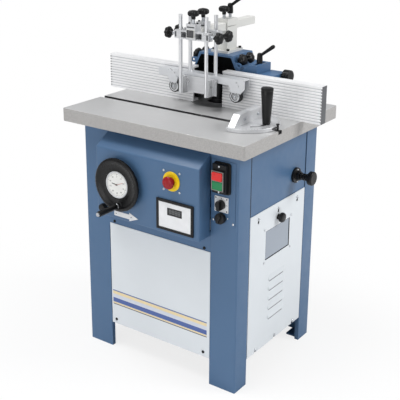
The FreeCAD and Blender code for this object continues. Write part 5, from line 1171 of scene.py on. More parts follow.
@dataclass
class Cabinet(Assembly):
    """Stand, cover sheets and the screws that hold them."""

    screw_x: float = 181.0
    screw_levels: Span = (110.5, 472.0)
    cover_levels: Point = (108.0, 445.0, 783.0)
    rear_screw_x: float = 205.0
    left_screw_y: float = 160.0
    band_half: float = 194.0
    band_skin: Span = (COVER_Y - 0.25, COVER_Y + 0.2)
    edge_reach: float = 5.0
    # spans of the dark strips of painted shade in the gaps beside the side covers
    right_gap_shade_x: Span = (298.9, 299.4)
    right_gap_shades: tuple[Span, Span] = ((-171.4, -164.8), (168.9, 171.4))
    right_gap_shade_levels: Span = (578.4, 798.6)
    left_gap_shade_x: Span = (-301.62, -301.0)
    left_gap_shades: tuple[Span, Span] = ((-172.3, -170.7), (170.7, 172.3))
    left_gap_shade_levels: Span = (92.2, 798.6)

    def build(self) -> None:
        """Dress the sheet metal, then add the front's band and screws."""
        sides = [((1, 0, 0), SIDE_X), ((-1, 0, 0), SIDE_X), ((0, 1, 0), LEG_Y), ((0, -1, 0), LEG_Y)]
        self.sheath("stand", BLUE, 1.0, bends=sides)
        self.widen(self.sheath("front_panel", WHITE))
        self.sheath("rear_panel", WHITE)
        self.sheath("left_panel", BLUE)
        self.sheath("right_panel", BLUE, 0.5)
        for name, low, high, ink in BAND:
            row = boxed([((-self.band_half, self.band_half), self.band_skin, (low, high))])
            self.piece(f"band_{name}", row, ink, "front_panel", Slot.WHITE, 0.1)
        self.screws()
        self.joints()

    def widen(self, cover: bpy.types.Object) -> None:
        """Carry the front cover's right edge over to the leg.

        Args:
            cover: the dressed cover.
        """
        for vert in cover.data.vertices:
            if vert.co.x > 0:
                vert.co.x += self.edge_reach * MM

    def screws(self) -> None:
        """Black socket screws of the front, rear and left covers."""
        head = button_head(5.0, 3.0, 2.4)
        corners = tuple(zip((COVER_Y, -LEG_Y), self.screw_levels))
        feet = [(x, y, z) for x in (-self.screw_x, self.screw_x) for y, z in corners]
        front = turned(head, feet, Axis.FRONT, 32)
        self.piece("front_cover_screws", front, DARK_STEEL, "cover_screws", Slot.STEEL, stands=True)
        spots = [(side, z) for z in self.cover_levels for side in (-1, 1)]
        feet = [(side * self.rear_screw_x, -COVER_Y, z) for side, z in spots]
        rear = turned(head, feet, Axis.BACK, 32)
        self.piece("rear_cover_screws", rear, DARK_STEEL, "rear_panel", Slot.STEEL)
        feet = [(-SIDE_X, side * self.left_screw_y, z) for side, z in spots]
        left = turned(head, feet, Axis.LEFT, 32)
        self.piece("left_cover_screws", left, DARK_STEEL, "left_panel", Slot.STEEL)

    def joints(self) -> None:
        """Painted shade: dark strips in the gaps where the side covers meet the legs."""
        right = boxed((self.right_gap_shade_x, y, self.right_gap_shade_levels) for y in self.right_gap_shades)
        self.piece("cover_gap_shade", right, BELT_AND_SHADE, "right_panel", Slot.BLACK)
        left = boxed((self.left_gap_shade_x, y, self.left_gap_shade_levels) for y in self.left_gap_shades)
        self.piece("left_cover_gap_shade", left, BELT_AND_SHADE, "left_panel", Slot.BLACK)


DOOR_KNOB = (
    (0, -0.2), (10.0, -0.2), (9.4, 1.2), (7.6, 2.6), (7.2, 4.6), (8.6, 6.4), (13.2, 7.6),
    (15.4, 9.6), (16.0, 13.0), (15.6, 18.0), (14.0, 20.6), (10.5, 21.8), (0, 22.0),
)
LOUVRE = (  # height over the lip, depth
    (18.0, -0.4), (17.0, 0.2), (13.0, 1.9), (9.0, 3.4), (6.0, 4.4), (4.4, 4.8), (3.0, 4.7),
    (1.6, 4.1), (0.5, 3.1), (0.0, 2.2), (0.1, -0.4),
)


@dataclass
class SideDoor(Assembly):
    """Lift-off door with louvres, pane, keyhole screws and pull knob."""

    knob_z: float = 527.0
    knob_room: float = 17.0
    pitch: float = 120.5
    levels: Span = (102.0, 556.5)
    shank_x: float = 299.2
    # spans of the dark pads that paint the shade seen through the keyholes
    keyhole_shade_x: Span = (299.15, 299.42)
    keyhole_shade_half: float = 8.0
    keyhole_shade_levels: Span = (-19.0, 7.0)
    door_foot: float = 92.0
    pane_edge: float = 299.6
    pane_half: float = 75.0
    pane_levels: Span = (401.0, 500.0)
    # spans of the painted shade strips round the pane
    edge_shade_wide: float = 1.7
    edge_shade_x: Span = (299.4, 300.3)
    louvre_low: float = 183.0
    louvre_pitch: float = 34.44
    louvre_count: int = 5
    louvre_half: float = 52.0
    louvre_end: float = 9.0
    louvre_field: tuple[float, Span] = (51.0, (175.0, 345.0))
    # spans of the painted shadow strips below the louvres
    slit_shade_half: float = 44.0
    shadow_levels: Span = (-5.6, 0.6)

    def build(self) -> None:
        """Dress the door and its pane, then add the small fittings."""
        # painted shade: the cut edges of the pane's opening are dark
        self.sheath("side_door", WHITE, 0.5, [Zone(BELT_AND_SHADE, self.pane_wall)], self.stands_proud)
        self.sheath("door_window", WINDOW, 0.4, [Zone(ZINC, self.on_screw)])
        knob = turned(DOOR_KNOB, [(SIDE_X, 0, self.knob_z)], Axis.RIGHT, 64)
        self.piece("door_pull_knob", knob, BLACK, "side_door", Slot.BLACK)
        self.keyholes()
        self.louvres()
        self.shade_pane_edges()

    def stands_proud(self, middle: Vector, _normal: Vector) -> bool:
        """Whether a face belongs to the solid's plain knob or louvres.

        Args:
            middle: middle of the face.
            _normal: its outward direction; not used.

        Returns:
            Whether it does.
        """
        half, (low, high) = self.louvre_field
        near = math.hypot(middle.y, middle.z - self.knob_z) < self.knob_room
        on_louvre = abs(middle.y) < half and low < middle.z < high
        return (near or on_louvre) and middle.x > SIDE_X + 0.05

    def on_screw(self, middle: Vector, _normal: Vector) -> bool:
        """Whether a face of the pane's node belongs to a screw."""
        return middle.x > self.pane_edge

    def pane_wall(self, middle: Vector, normal: Vector) -> bool:
        """Whether a face is the cut edge of the pane's opening, which gets dark painted shade.

        Args:
            middle: middle of the face.
            normal: its outward direction.

        Returns:
            Whether it is.
        """
        inside = abs(middle.y) < self.pane_half + 0.3
        low, high = self.pane_levels
        return abs(normal.x) < 0.2 and inside and low - 0.3 < middle.z < high + 0.3

    def keyholes(self) -> None:
        """Bright screws that the door hangs on, and dark pads of painted shade behind its keyholes.
        """
        spots = [(y, z) for y in (-self.pitch, 0, self.pitch) for z in self.levels]
        screws, head, shank = Mould(), button_head(5.0, 3.0, 2.2), disc(2.5, 2.8)
        for y, z in spots:
            screws.turn(head, (SIDE_X + 0.3, y, z), Axis.RIGHT, 32)
            screws.turn(shank, (self.shank_x, y, z), Axis.RIGHT, 24)
        self.piece("keyhole_screws", screws, ZINC, "cover_screws", Slot.STEEL, stands=True)
        half, (low, high) = self.keyhole_shade_half, self.keyhole_shade_levels
        pads = boxed(
            (self.keyhole_shade_x, (y - half, y + half), (max(z + low, self.door_foot), z + high))
            for y, z in spots
        )
        self.piece("keyhole_shade_pads", pads, BELT_AND_SHADE, "stand", Slot.BLACK)

    def louvres(self) -> None:
        """Pressed louvres with closed ends, each over a strip of painted shadow below its lip."""
        pressed, shadows, skin = Mould(), Mould(), (SIDE_X - 0.2, SIDE_X + 0.15)
        half, (low, high) = self.slit_shade_half, self.shadow_levels
        for step in range(self.louvre_count):
            lip = self.louvre_low + step * self.louvre_pitch
            pressed.bulge(LOUVRE, SIDE_X, lip, self.louvre_half, self.louvre_end)
            shadows.block(skin, (-half, half), (lip + low, lip + high))
        self.piece("door_louvres", pressed, WHITE, "side_door", Slot.WHITE)
        self.piece("louvre_shadows", shadows, LOUVRE_SHADOW, "side_door", Slot.BLACK)

    def shade_pane_edges(self) -> None:
        """Painted shade: dark strips between the pane and the edges of its opening, for the shadow
        in the recess.
        """
        half, wide, skin = self.pane_half - 0.05, self.edge_shade_wide, self.edge_shade_x
        low, high = self.pane_levels[0] + 0.05, self.pane_levels[1] - 0.05
        uprights = ((-half, wide - half), (half - wide, half))
        bars = ((low, low + wide), (high - wide, high))
        edge_shade = boxed(
            [(skin, y, (low, high)) for y in uprights]
            + [(skin, (wide - half, half - wide), z) for z in bars]
        )
        self.piece("pane_edge_shade", edge_shade, BELT_AND_SHADE, "door_window", Slot.BLACK)


WHEEL = (
    (0, 3.0), (24.0, 3.0), (24.5, 3.6), (24.5, 11.0), (27.0, 12.4), (62.0, 14.6), (70.0, 14.8),
    (75.0, 13.0), (81.0, 13.1), (85.4, 15.4), (87.4, 19.4), (86.6, 23.4), (83.8, 26.0),
    (79.6, 27.0), (75.4, 26.4), (71.6, 24.4), (66.8, 21.6), (60.0, 20.2), (52.0, 20.2),
    (47.4, 21.0), (45.4, 21.0), (44.2, 20.2), (44.2, 16.0), (0, 16.0),
)
CRANK_COLLAR = ((0, 0), (7.6, 0), (8.2, 1.0), (8.2, 4.6), (7.2, 6.0), (0, 6.0))
CRANK_GRIP = (
    (4.1, 0), (8.2, 0), (9.1, 1.2), (9.5, 6.0), (9.3, 40.0), (9.5, 76.0), (9.2, 80.4), (8.2, 81.8),
    (7.2, 82.0), (6.9, 81.0), (4.1, 81.0), (4.1, 0),
)
DIAL_BEZEL = (
    (0, 16.2), (43.8, 16.2), (43.8, 20.4), (43.0, 21.4), (41.2, 21.4), (39.6, 20.4), (39.2, 19.4),
    (0, 19.4),
)
LOCK_KNOB = (
    (0, -12.0), (5.0, -12.0), (5.0, 5.4), (6.4, 6.6), (11.6, 7.2), (12.8, 8.6), (13.0, 11.0),
    (13.0, 20.0), (12.0, 22.4), (9.6, 23.0), (0, 22.6),
)


@dataclass
class Handwheel(Assembly):
    """Dished black handwheel with its dial, crank handle and lock knob."""

    x: float = -100.0
    z: float = 640.0
    rim_depth: Span = (-324.4, -299.9)
    crank: Span = (-96.0, 572.0)
    collar_y: float = -321.2
    grip_y: float = -327.3
    card_y: float = -317.0
    lock: Point = (-165.0, CONSOLE_Y, 548.0)
    number_ring: float = 27.4
    mark_end: float = 37.4

    def build(self) -> None:
        """Make the wheel, then what it carries."""
        hub, (crank_x, crank_z) = (self.x, CONSOLE_Y, self.z), self.crank
        wheel = turned(WHEEL, [hub], Axis.FRONT, 112)
        self.piece("handwheel_rim", wheel, WHEEL_BLACK, "handwheel", Slot.BLACK, stands=True)
        self.sheath("handwheel", STEEL, 0.4, drop=self.turned_rim)
        collar = turned(CRANK_COLLAR, [(crank_x, self.collar_y, crank_z)], Axis.FRONT, 40)
        self.piece("crank_collar", collar, ZINC, "handwheel", Slot.STEEL)
        grip = turned(CRANK_GRIP, [(crank_x, self.grip_y, crank_z)], Axis.FRONT, 56)
        self.piece("crank_grip", grip, BLACK, "crank_handle", Slot.BLACK, stands=True)
        bezel = turned(DIAL_BEZEL, [hub], Axis.FRONT, 96)
        self.piece("dial_bezel", bezel, BEZEL, "dial", Slot.DIAL, stands=True)
        card = turned(disc(39.0, 0.5), [(self.x, self.card_y + 0.9, self.z)], Axis.FRONT, 96)
        self.piece("dial_card", card, DIAL_WHITE, "dial", Slot.DIAL)
        self.marks()
        self.hands()
        knob = turned(LOCK_KNOB, [self.lock], Axis.FRONT, 36)
        self.piece("lift_lock_grip", knob, BLACK, "lift_lock_knob", Slot.BLACK, stands=True)

    def turned_rim(self, middle: Vector, _normal: Vector) -> bool:
        """Whether a face lies in the depth of the wheel itself."""
        return self.rim_depth[0] < middle.y < self.rim_depth[1]

    def ray(self, mould: Mould, half: float, y: Span, reach: Span, degrees: float) -> None:
        """Add a bar that points from the dial's middle.

        Args:
            mould: mould to add it to.
            half: half of its width.
            y: its front and back.
            reach: its two ends, from the middle.
            degrees: its direction, clockwise from the top.
        """
        x = (self.x - half, self.x + half)
        verts = mould.block(x, y, (self.z + reach[0], self.z + reach[1]))
        mould.spin(verts, degrees, Axis.BACK, (self.x, 0, self.z))

    def marks(self) -> None:
        """Printed marks and numbers round the dial."""
        mould, skin = Mould(), (self.card_y + 0.2, self.card_y + 0.5)
        for step in range(50):
            half, inner = (0.22, 34.4) if step % 5 else (0.45, 32.4)
            self.ray(mould, half, skin, (inner, self.mark_end), 7.2 * step)
        for step in range(10):
            angle = math.radians(36 * step)
            x = self.x + self.number_ring * math.sin(angle)
            z = self.z + self.number_ring * math.cos(angle)
            mould.words(str(step * 10), 6.4, (x, self.card_y + 0.35, z))
        self.piece("dial_marks", mould, INK_BLACK, "dial", Slot.DIAL)

    def hands(self) -> None:
        """A short black hand to the left and a thin red one to the upper right."""
        black, red, y = Mould(), Mould(), self.card_y
        self.ray(black, 1.1, (y - 0.5, y), (-3.0, 20.0), -82)
        black.turn(disc(2.6, 0.9), (self.x, y + 0.1, self.z), Axis.FRONT, 24)
        self.piece("dial_short_hand", black, INK_BLACK, "dial", Slot.DIAL)
        self.ray(red, 0.5, (y - 0.8, y - 0.55), (-6.0, 27.0), 66)
        self.piece("dial_long_hand", red, INK_RED, "dial", Slot.DIAL)


STOP_DISC = (
    (13.4, 0), (30.4, 0), (31.0, 0.6), (31.0, 2.2), (30.2, 3.0), (20.6, 3.0), (20.0, 2.5),
    (17.6, 2.5), (17.0, 3.0), (13.4, 3.0), (13.4, 0),
)
MUSHROOM = (
    (0, -11.0), (13.0, -11.0), (13.0, 12.0), (15.2, 13.6), (18.6, 14.6), (19.8, 15.8), (20.0, 18.4),
    (19.6, 20.4), (18.2, 22.4), (15.4, 24.0), (10.0, 25.1), (0, 25.5),
)
ARROW = (
    (-130.0, 525.5), (-68.0, 525.5), (-68.0, 519.0), (-32.0, 533.5), (-68.0, 548.0),
    (-68.0, 541.5), (-130.0, 541.5),
)
SIGNS = [(side, level) for side in (-1, 1) for level in (-1, 1)]


@dataclass
class Console(Assembly):
    """Sloping console with the emergency stop, the display and an arrow plate."""

    side_x: float = 201.0
    foot_z: float = 515.0
    slope_foot: Span = (CONSOLE_Y, 745.5)
    slope_top: Span = (-238.5, 782.0)
    stop: Span = (100.0, 689.0)
    screw_pitch: float = 30.0
    frame_x: Span = (49.0, 178.0)
    frame_z: Span = (532.0, 622.5)
    frame_y: float = -302.9
    digits_x: Span = (88.5, 138.5)
    digits_z: Span = (581.75, 600.75)
    digit_count: int = 4
    digit_bar: float = 1.5
    bezel_y: Span = (-302.0, -300.4)
    bezel_edge: Span = (2.2, 0.4)
    glass_y: Span = (-300.6, -299.9)
    bars_y: Span = (-300.75, -300.5)
    plate_skin: float = 0.8
    rivet_x: Span = (-122.0, -60.0)
    rivet_z: float = 533.5

    def build(self) -> None:
        """Dress the box, then set its fittings on the face."""
        rise = self.slope_top[1] - self.slope_foot[1]
        run = self.slope_top[0] - self.slope_foot[0]
        out = Vector((0, -rise, run)).normalized()
        folds = [
            ((1, 0, 0), self.side_x),
            ((-1, 0, 0), self.side_x),
            ((0, -1, 0), -CONSOLE_Y),
            (tuple(out), out.dot(Vector((0, *self.slope_foot)))),
            ((0, 0, -1), -self.foot_z),
        ]
        self.sheath("console", BLUE, 0.8, bends=folds)
        self.emergency_stop()
        self.display()
        self.arrow_plate()

    def emergency_stop(self) -> None:
        """Red mushroom over a yellow disc with four screws around it."""
        x, z = self.stop
        foot, pitch = (x, CONSOLE_Y, z), self.screw_pitch
        ring = turned(STOP_DISC, [foot], Axis.FRONT, 80)
        self.piece("stop_disc_ring", ring, STOP_YELLOW, "stop_disc", Slot.YELLOW, stands=True)
        head = turned(MUSHROOM, [foot], Axis.FRONT, 72)
        self.piece("stop_mushroom", head, STOP_RED, "emergency_stop", Slot.RED, stands=True)
        feet = [(x + side * pitch, CONSOLE_Y, z + level * pitch) for side, level in SIGNS]
        screws = turned(button_head(4.0, 2.2, 1.6), feet, Axis.FRONT, 28)
        self.piece("stop_screws", screws, ZINC, "cover_screws", Slot.STEEL, stands=True)

    def display(self) -> None:
        """Black frame with corner screws, pale card and a digit window."""
        self.sheath("display_frame", BOX_BLACK, 1.6)
        self.sheath("display_face", FACE_WHITE, 0.4)
        feet = [(x, self.frame_y, z) for x in self.frame_x for z in self.frame_z]
        screws = turned(button_head(2.8, 1.3, 1.2), feet, Axis.FRONT, 24)
        self.piece("display_screws", screws, DARK_STEEL, "display_frame", Slot.BLACK)
        (left, right), (low, high) = self.digits_x, self.digits_z
        skin, (out, lap) = self.bezel_y, self.bezel_edge
        uprights = ((left - out, left + lap), (right - lap, right + out))
        bars = ((low - out, low + lap), (high - lap, high + out))
        bezel = boxed(
            [(x, skin, (low - out, high + out)) for x in uprights]
            + [((left - out, right + out), skin, z) for z in bars]
        )
        self.piece("digit_bezel", bezel, BOX_BLACK, "display_face", Slot.BLACK, 0.3)
        glass = boxed([((left + 0.1, right - 0.1), self.glass_y, (low + 0.1, high - 0.1))])
        self.piece("digit_window", glass, DIGIT_GLASS, "display_face", Slot.DISPLAY, 0.15)
        self.segments((left + 3.0, right - 3.0), (low + 3.0, high - 3.0))

    def segments(self, across: Span, tall: Span) -> None:
        """Seven bars for each digit, unlit.

        Args:
            across: left and right of the row of digits.
            tall: bottom and top of the digits.
        """
        mould, bar, skin = Mould(), self.digit_bar, self.bars_y
        step = (across[1] - across[0]) / self.digit_count
        middle = (tall[0] + tall[1]) / 2
        for index in range(self.digit_count):
            left = across[0] + index * step + 1.2
            right = left + step - 2.8
            for level in (tall[0] + bar / 2, middle, tall[1] - bar / 2):
                mould.block((left + bar, right - bar), skin, (level - bar / 2, level + bar / 2))
            for low, high in ((tall[0], middle), (middle, tall[1])):
                for x in (left, right - bar):
                    mould.block((x, x + bar), skin, (low + bar / 2, high - bar / 2))
        self.piece("digit_bars", mould, SEGMENTS, "display_face", Slot.DISPLAY)

    def arrow_plate(self) -> None:
        """Plain pale plate in the shape of an arrow, under the wheel."""
        mould = Mould()
        mould.slab([(x, CONSOLE_Y, z) for x, z in ARROW], (0, -self.plate_skin, 0))
        self.piece("arrow_plate", mould, FACE_WHITE, "console", Slot.DISPLAY, 0.2)
        feet = [(x, CONSOLE_Y - self.plate_skin, self.rivet_z) for x in self.rivet_x]
        rivets = turned(button_head(1.9, 0.9, 0.7), feet, Axis.FRONT, 20)
        self.piece("arrow_plate_rivets", rivets, DARK_STEEL, "console", Slot.STEEL)


SWITCH_PARTS = (  # node, finish, edge rounding
    ("control_plate", BLUE, 0.5),
    ("switch_housing", BOX_BLACK, 2.4),
    ("stop_button", BUTTON_RED, 2.2),
    ("start_button", BUTTON_GREEN, 1.0),
    ("selector_plate", PLATE_WHITE, 0.6),
    ("selector_knob", BLACK, 1.0),
    ("tension_flange", BLACK, 1.0),
    ("tension_knob", BLACK, 1.4),
)


@dataclass
class Switchgear(Assembly):
    """Switch box, selector, isolator and tension handle."""

    x: float = 244.0
    box_y: float = -258.5
    pedestal: float = 8.0
    stop_rise: float = 8.5
    start_rise: float = 4.6
    selector_z: float = 631.25
    selector_y: float = -243.0
    isolator_z: float = 588.0
    tension: Span = (103.0, 638.0)
    sleeve_x: float = 320.4
    flange_x: float = 307.6

    def build(self) -> None:
        """Dress the bought-in parts and add their small fittings."""
        parts = {node: self.sheath(node, finish, size) for node, finish, size in SWITCH_PARTS}
        self.lift_face(parts["stop_button"], self.stop_rise)
        self.lift_face(parts["start_button"], self.start_rise)
        self.surround()
        self.tension_rings()
        self.selector_marks()
        grip = Mould()
        x = (self.x - 4.2, self.x + 4.2)
        verts = grip.block(x, (-262.0, -254.5), (self.isolator_z - 13.5, self.isolator_z + 13.5))
        grip.spin(verts, 24, Axis.BACK, (self.x, 0, self.isolator_z))
        self.piece("isolator_grip", grip, BLACK, "switch_housing", Slot.BLACK, 1.8)
        self.fasteners()

    def lift_face(self, button: bpy.types.Object, rise: float) -> None:
        """Carry a push button's face forward, out of the pedestal.

        Args:
            button: the dressed button.
            rise: length added to it.
        """
        front = min(vert.co.y for vert in button.data.vertices)
        for vert in button.data.vertices:
            if vert.co.y < front + MM:
                vert.co.y -= rise * MM

    def surround(self) -> None:
        """Pedestal round the push buttons, the switch's back plate and a pale frame."""
        face = self.box_y - self.pedestal
        skin = (face, self.box_y + 1)
        walls = boxed(
            [(x, skin, (680.6, 742.4)) for x in ((222.2, 225.2), (262.8, 265.8))]
            + [((225.2, 262.8), skin, z) for z in ((680.6, 683.2), (739.8, 742.4))]
        )
        self.piece("switch_surround", walls, BOX_BLACK, "switch_housing", Slot.BLACK, 0.8)
        back = Mould()
        back.pad((217.0, 276.5), (COVER_Y - 5.0, COVER_Y), (665.5, 764.5), corner=9.0)
        self.piece("switch_back_plate", back, BOX_BLACK, "switch_housing", Slot.BLACK, 1.2)
        skin = (face - 0.9, face + 0.5)
        bars = ((681.2, 683.6), (710.3, 712.7), (739.4, 741.8))
        frame = boxed(
            [(x, skin, (681.2, 741.8)) for x in ((222.8, 225.6), (262.4, 265.2))]
            + [((225.6, 262.4), skin, z) for z in bars]
        )
        self.piece("button_rims", frame, BUTTON_RIM, "switch_housing", Slot.DISPLAY, 0.2)

    def tension_rings(self) -> None:
        """Ribbed sleeve on the tension handle's shaft."""
        profile = [(0, 0), (9.5, 0)]
        for start in (0.0, 9.4, 18.8):
            profile += [(11.4, start + 1.0), (12.0, start + 4.0), (11.4, start + 7.0)]
            profile += [(9.6, start + 8.2)]
        profile += [(9.6, 29.0), (0, 29.0)]
        sleeve = turned(profile, [(self.sleeve_x, *self.tension)], Axis.RIGHT, 48)
        self.piece("tension_sleeve", sleeve, BLACK, "tension_knob", Slot.BLACK)

    def selector_marks(self) -> None:
        """Corner screws and position marks on the selector's plate."""
        y, z = self.selector_y, self.selector_z
        feet = [(self.x + side * 19.6, y, z + level * 19.4) for side, level in SIGNS]
        screws = turned(button_head(2.2, 1.0, 0.9), feet, Axis.FRONT, 20)
        self.piece("selector_screws", screws, DARK_STEEL, "selector_plate", Slot.STEEL)
        marks = Mould()
        for degrees in (-90, 0, 90):
            x = (self.x - 0.8, self.x + 0.8)
            verts = marks.block(x, (y - 0.15, y + 0.1), (z + 17.0, z + 21.5))
            marks.spin(verts, degrees, Axis.BACK, (self.x, 0, z))
        self.piece("selector_ticks", marks, INK_BLACK, "selector_plate", Slot.SELECTOR)

    def fasteners(self) -> None:
        """Bright screws of the switch box, the plate and the tension flange."""
        mould = turned(
            button_head(3.4, 1.6, 1.4), [(self.x, self.box_y, z) for z in (754.0, 675.2)],
            Axis.FRONT, 28,
        )
        for x in (213.5, 285.5):
            mould.turn(button_head(4.0, 2.0, 1.6), (x, COVER_Y, 576.0), Axis.FRONT, 28)
        for x in (222.5, 265.5):
            mould.turn(button_head(2.6, 1.3, 1.1), (x, COVER_Y, 590.0), Axis.FRONT, 24)
        y, z = self.tension
        for level in (-20.0, 20.0):
            mould.turn(button_head(3.6, 3.0, 1.7), (self.flange_x, y, z + level), Axis.RIGHT, 24)
        self.piece("switch_screws", mould, ZINC, "switch_housing", Slot.STEEL)


@dataclass
class Table(Assembly):
    """Cast table: ground top, rough sides."""

    slot_room: float = 10.5
    slot_levels: Span = (TABLE_TOP - 11, TABLE_TOP - 0.2)
    spindle_y: float = 98.0
    rings: tuple[Span, Span] = ((64.6, 94.7), (38.0, 64.2))
    ring_foot: float = TABLE_TOP - 8.2

    def build(self) -> None:
        """Dress the table with painted shade in the mitre slot, then lay the loose rings round the
        spindle, darkened with painted shade.
        """
        # painted shade: the walls and floor of the mitre slot are dark
        zones = [Zone(GROUND, self.ground), Zone(SLOT_SHADE, self.in_slot)]
        self.sheath("table", SAND_CAST, 1.6, zones, part_at=0.0)
        mould = Mould()
        for inner, outer in self.rings:
            top = [(outer, 7.2), (outer - 0.7, 7.9), (inner + 0.7, 7.9), (inner, 7.2)]
            profile = [(inner, 0), (outer, 0), *top, (inner, 0)]
            mould.turn(profile, (0.0, self.spindle_y, self.ring_foot), Axis.UP, 112)
        # painted shade: the rings are darker than the ground top for the shadow under the hood
        self.piece("insert_rings", mould, INSERT_RING_SHADE, "table", Slot.STEEL)

    def ground(self, middle: Vector, normal: Vector) -> bool:
        """Whether a face belongs to the ground top."""
        return normal.z > FACING and middle.z > TABLE_TOP - 1

    def in_slot(self, middle: Vector, _normal: Vector) -> bool:
        """Whether a face is a wall or the floor of the mitre slot, which gets dark painted shade.
        """
        low, high = self.slot_levels
        return abs(middle.y - SLOT_Y) < self.slot_room and low < middle.z < high


@dataclass
class Fence(Assembly):
    """Grooved fence halves, the sliding arm, its adjuster and clamp lever."""

    end: float = 418.6
    end_plate: Span = (414.6, 418.55)
    depth: Span = (30.6, 60.8)
    rise: Span = (843.0, 961.7)
    groove: Span = (31.0, 33.0)

    def build(self) -> None:
        """Dress both halves with painted shade on their ends, then the arm."""
        # painted shade: darker finishes on the groove floors and on the cut ends
        zones = [Zone(GROOVE_SHADE, self.groove_floor), Zone(END_SHADE, self.cut_end)]
        near, far = self.end_plate
        for node, x in (("fence_left", (-far, -near)), ("fence_right", (near, far))):
            self.sheath(node, GROOVED, 0.4, zones)
            # painted shade: a dark grey plate at each end of a fence half
            end_plate = boxed([(x, self.depth, self.rise)])
            self.piece(f"{node}_end_shade", end_plate, END_SHADE, node, Slot.BLACK, 0.5)
        self.sheath("fence_arm", CAST_BLUE, 1.4)
        self.sheath("fence_adjuster", BLACK, 0.5)
        ClampLever(self.shop, "wing_lever", (140.0, 124.0, 982.3), 47.0).build()

    def cut_end(self, middle: Vector, normal: Vector) -> bool:
        """Whether a face closes an end of a fence half, which gets dark grey painted shade."""
        return abs(normal.x) > FACING and abs(middle.x) > self.end - 0.5

    def groove_floor(self, middle: Vector, normal: Vector) -> bool:
        """Whether a face is the floor of a groove, which gets a darker painted shade."""
        return normal.y < -FACING and self.groove[0] < middle.y < self.groove[1]


@dataclass
class Hood(Assembly):
    """Cast hood with painted shade inside, knobs and clamp tower."""

    back: float = 189.5
    port: Span = (46.0, 915.0)
    port_room: float = 48.5
    mouth_y: float = 76.5
    inner_half: float = 92.0
    inner_top: float = 998.5
    inner_back: float = 188.0
    inner_z: float = 900.0
    base_top: float = 1012.0
    knob_lean: float = math.atan2(38.0, 15.0)

    def build(self) -> None:
        """Dress the castings, the knobs and the tower."""
        # painted shade: the faces inside the hood and its spigot are near-black for the shadow
        # there
        self.sheath("hood", CAST_BLUE, 1.6, [Zone(SHADE_LINING, self.inside)])
        for label, side in (("right", 1), ("left", -1)):
            along = Vector((side * math.sin(self.knob_lean), 0, math.cos(self.knob_lean)))
            for index, y in enumerate((101.0, 145.0)):
                name, seat = f"hood_knob_{label}_{index}", (side * 73.5, y, 985.0)
                HandKnob(self.shop, "hood_knobs", name, seat, along, neck=9.0, tail=0.0).build()
        self.sheath("tower", OFF_WHITE, 1.0, [Zone(DARK_STEEL, self.screw_head)])
        ClampLever(self.shop, "tower_lever", (0.0, 158.0, 1127.3), 23.4).build()

    def inside(self, middle: Vector, normal: Vector) -> bool:
        """Whether a face lines the space over the cutter or the spigot, where near-black painted
        shade stands for the shadow inside.

        Args:
            middle: middle of the face.
            normal: its outward direction.

        Returns:
            Whether it does.
        """
        if middle.y > self.back:
            x, z = self.port
            inward = normal.x * (x - middle.x) + normal.z * (z - middle.z) > 0
            return inward and math.hypot(middle.x - x, middle.z - z) < self.port_room
        wide = abs(middle.x) > self.inner_half or middle.z > self.inner_top
        if middle.y < self.mouth_y or wide:
            return False
        if normal.y < -FACING:
            return middle.y > self.inner_back
        return normal.x * -middle.x + normal.z * (self.inner_z - middle.z) > 0

    def screw_head(self, middle: Vector, _normal: Vector) -> bool:
        """Whether a face belongs to a screw on the tower's flange."""
        return self.base_top + 0.1 < middle.z < self.base_top + 6.5 and abs(middle.x) > 22.5


ROLLER_RIM = (
    (13.9, -0.5), (16.8, -0.5), (16.8, 0.2), (16.3, 0.45), (14.4, 0.45), (13.9, 0.2), (13.9, -0.5)
)
ROLLERS = (("roller_left", -110.0), ("roller_right", 131.0))
TUBE_PLUGS = (  # front and back of each plug, of its upright ribs and of its level ribs
    ((-66.4, -58.0), (-67.2, -66.2), (-67.0, -66.2)),
    ((282.0, 290.4), (290.2, 291.2), (290.2, 291.0)),
)


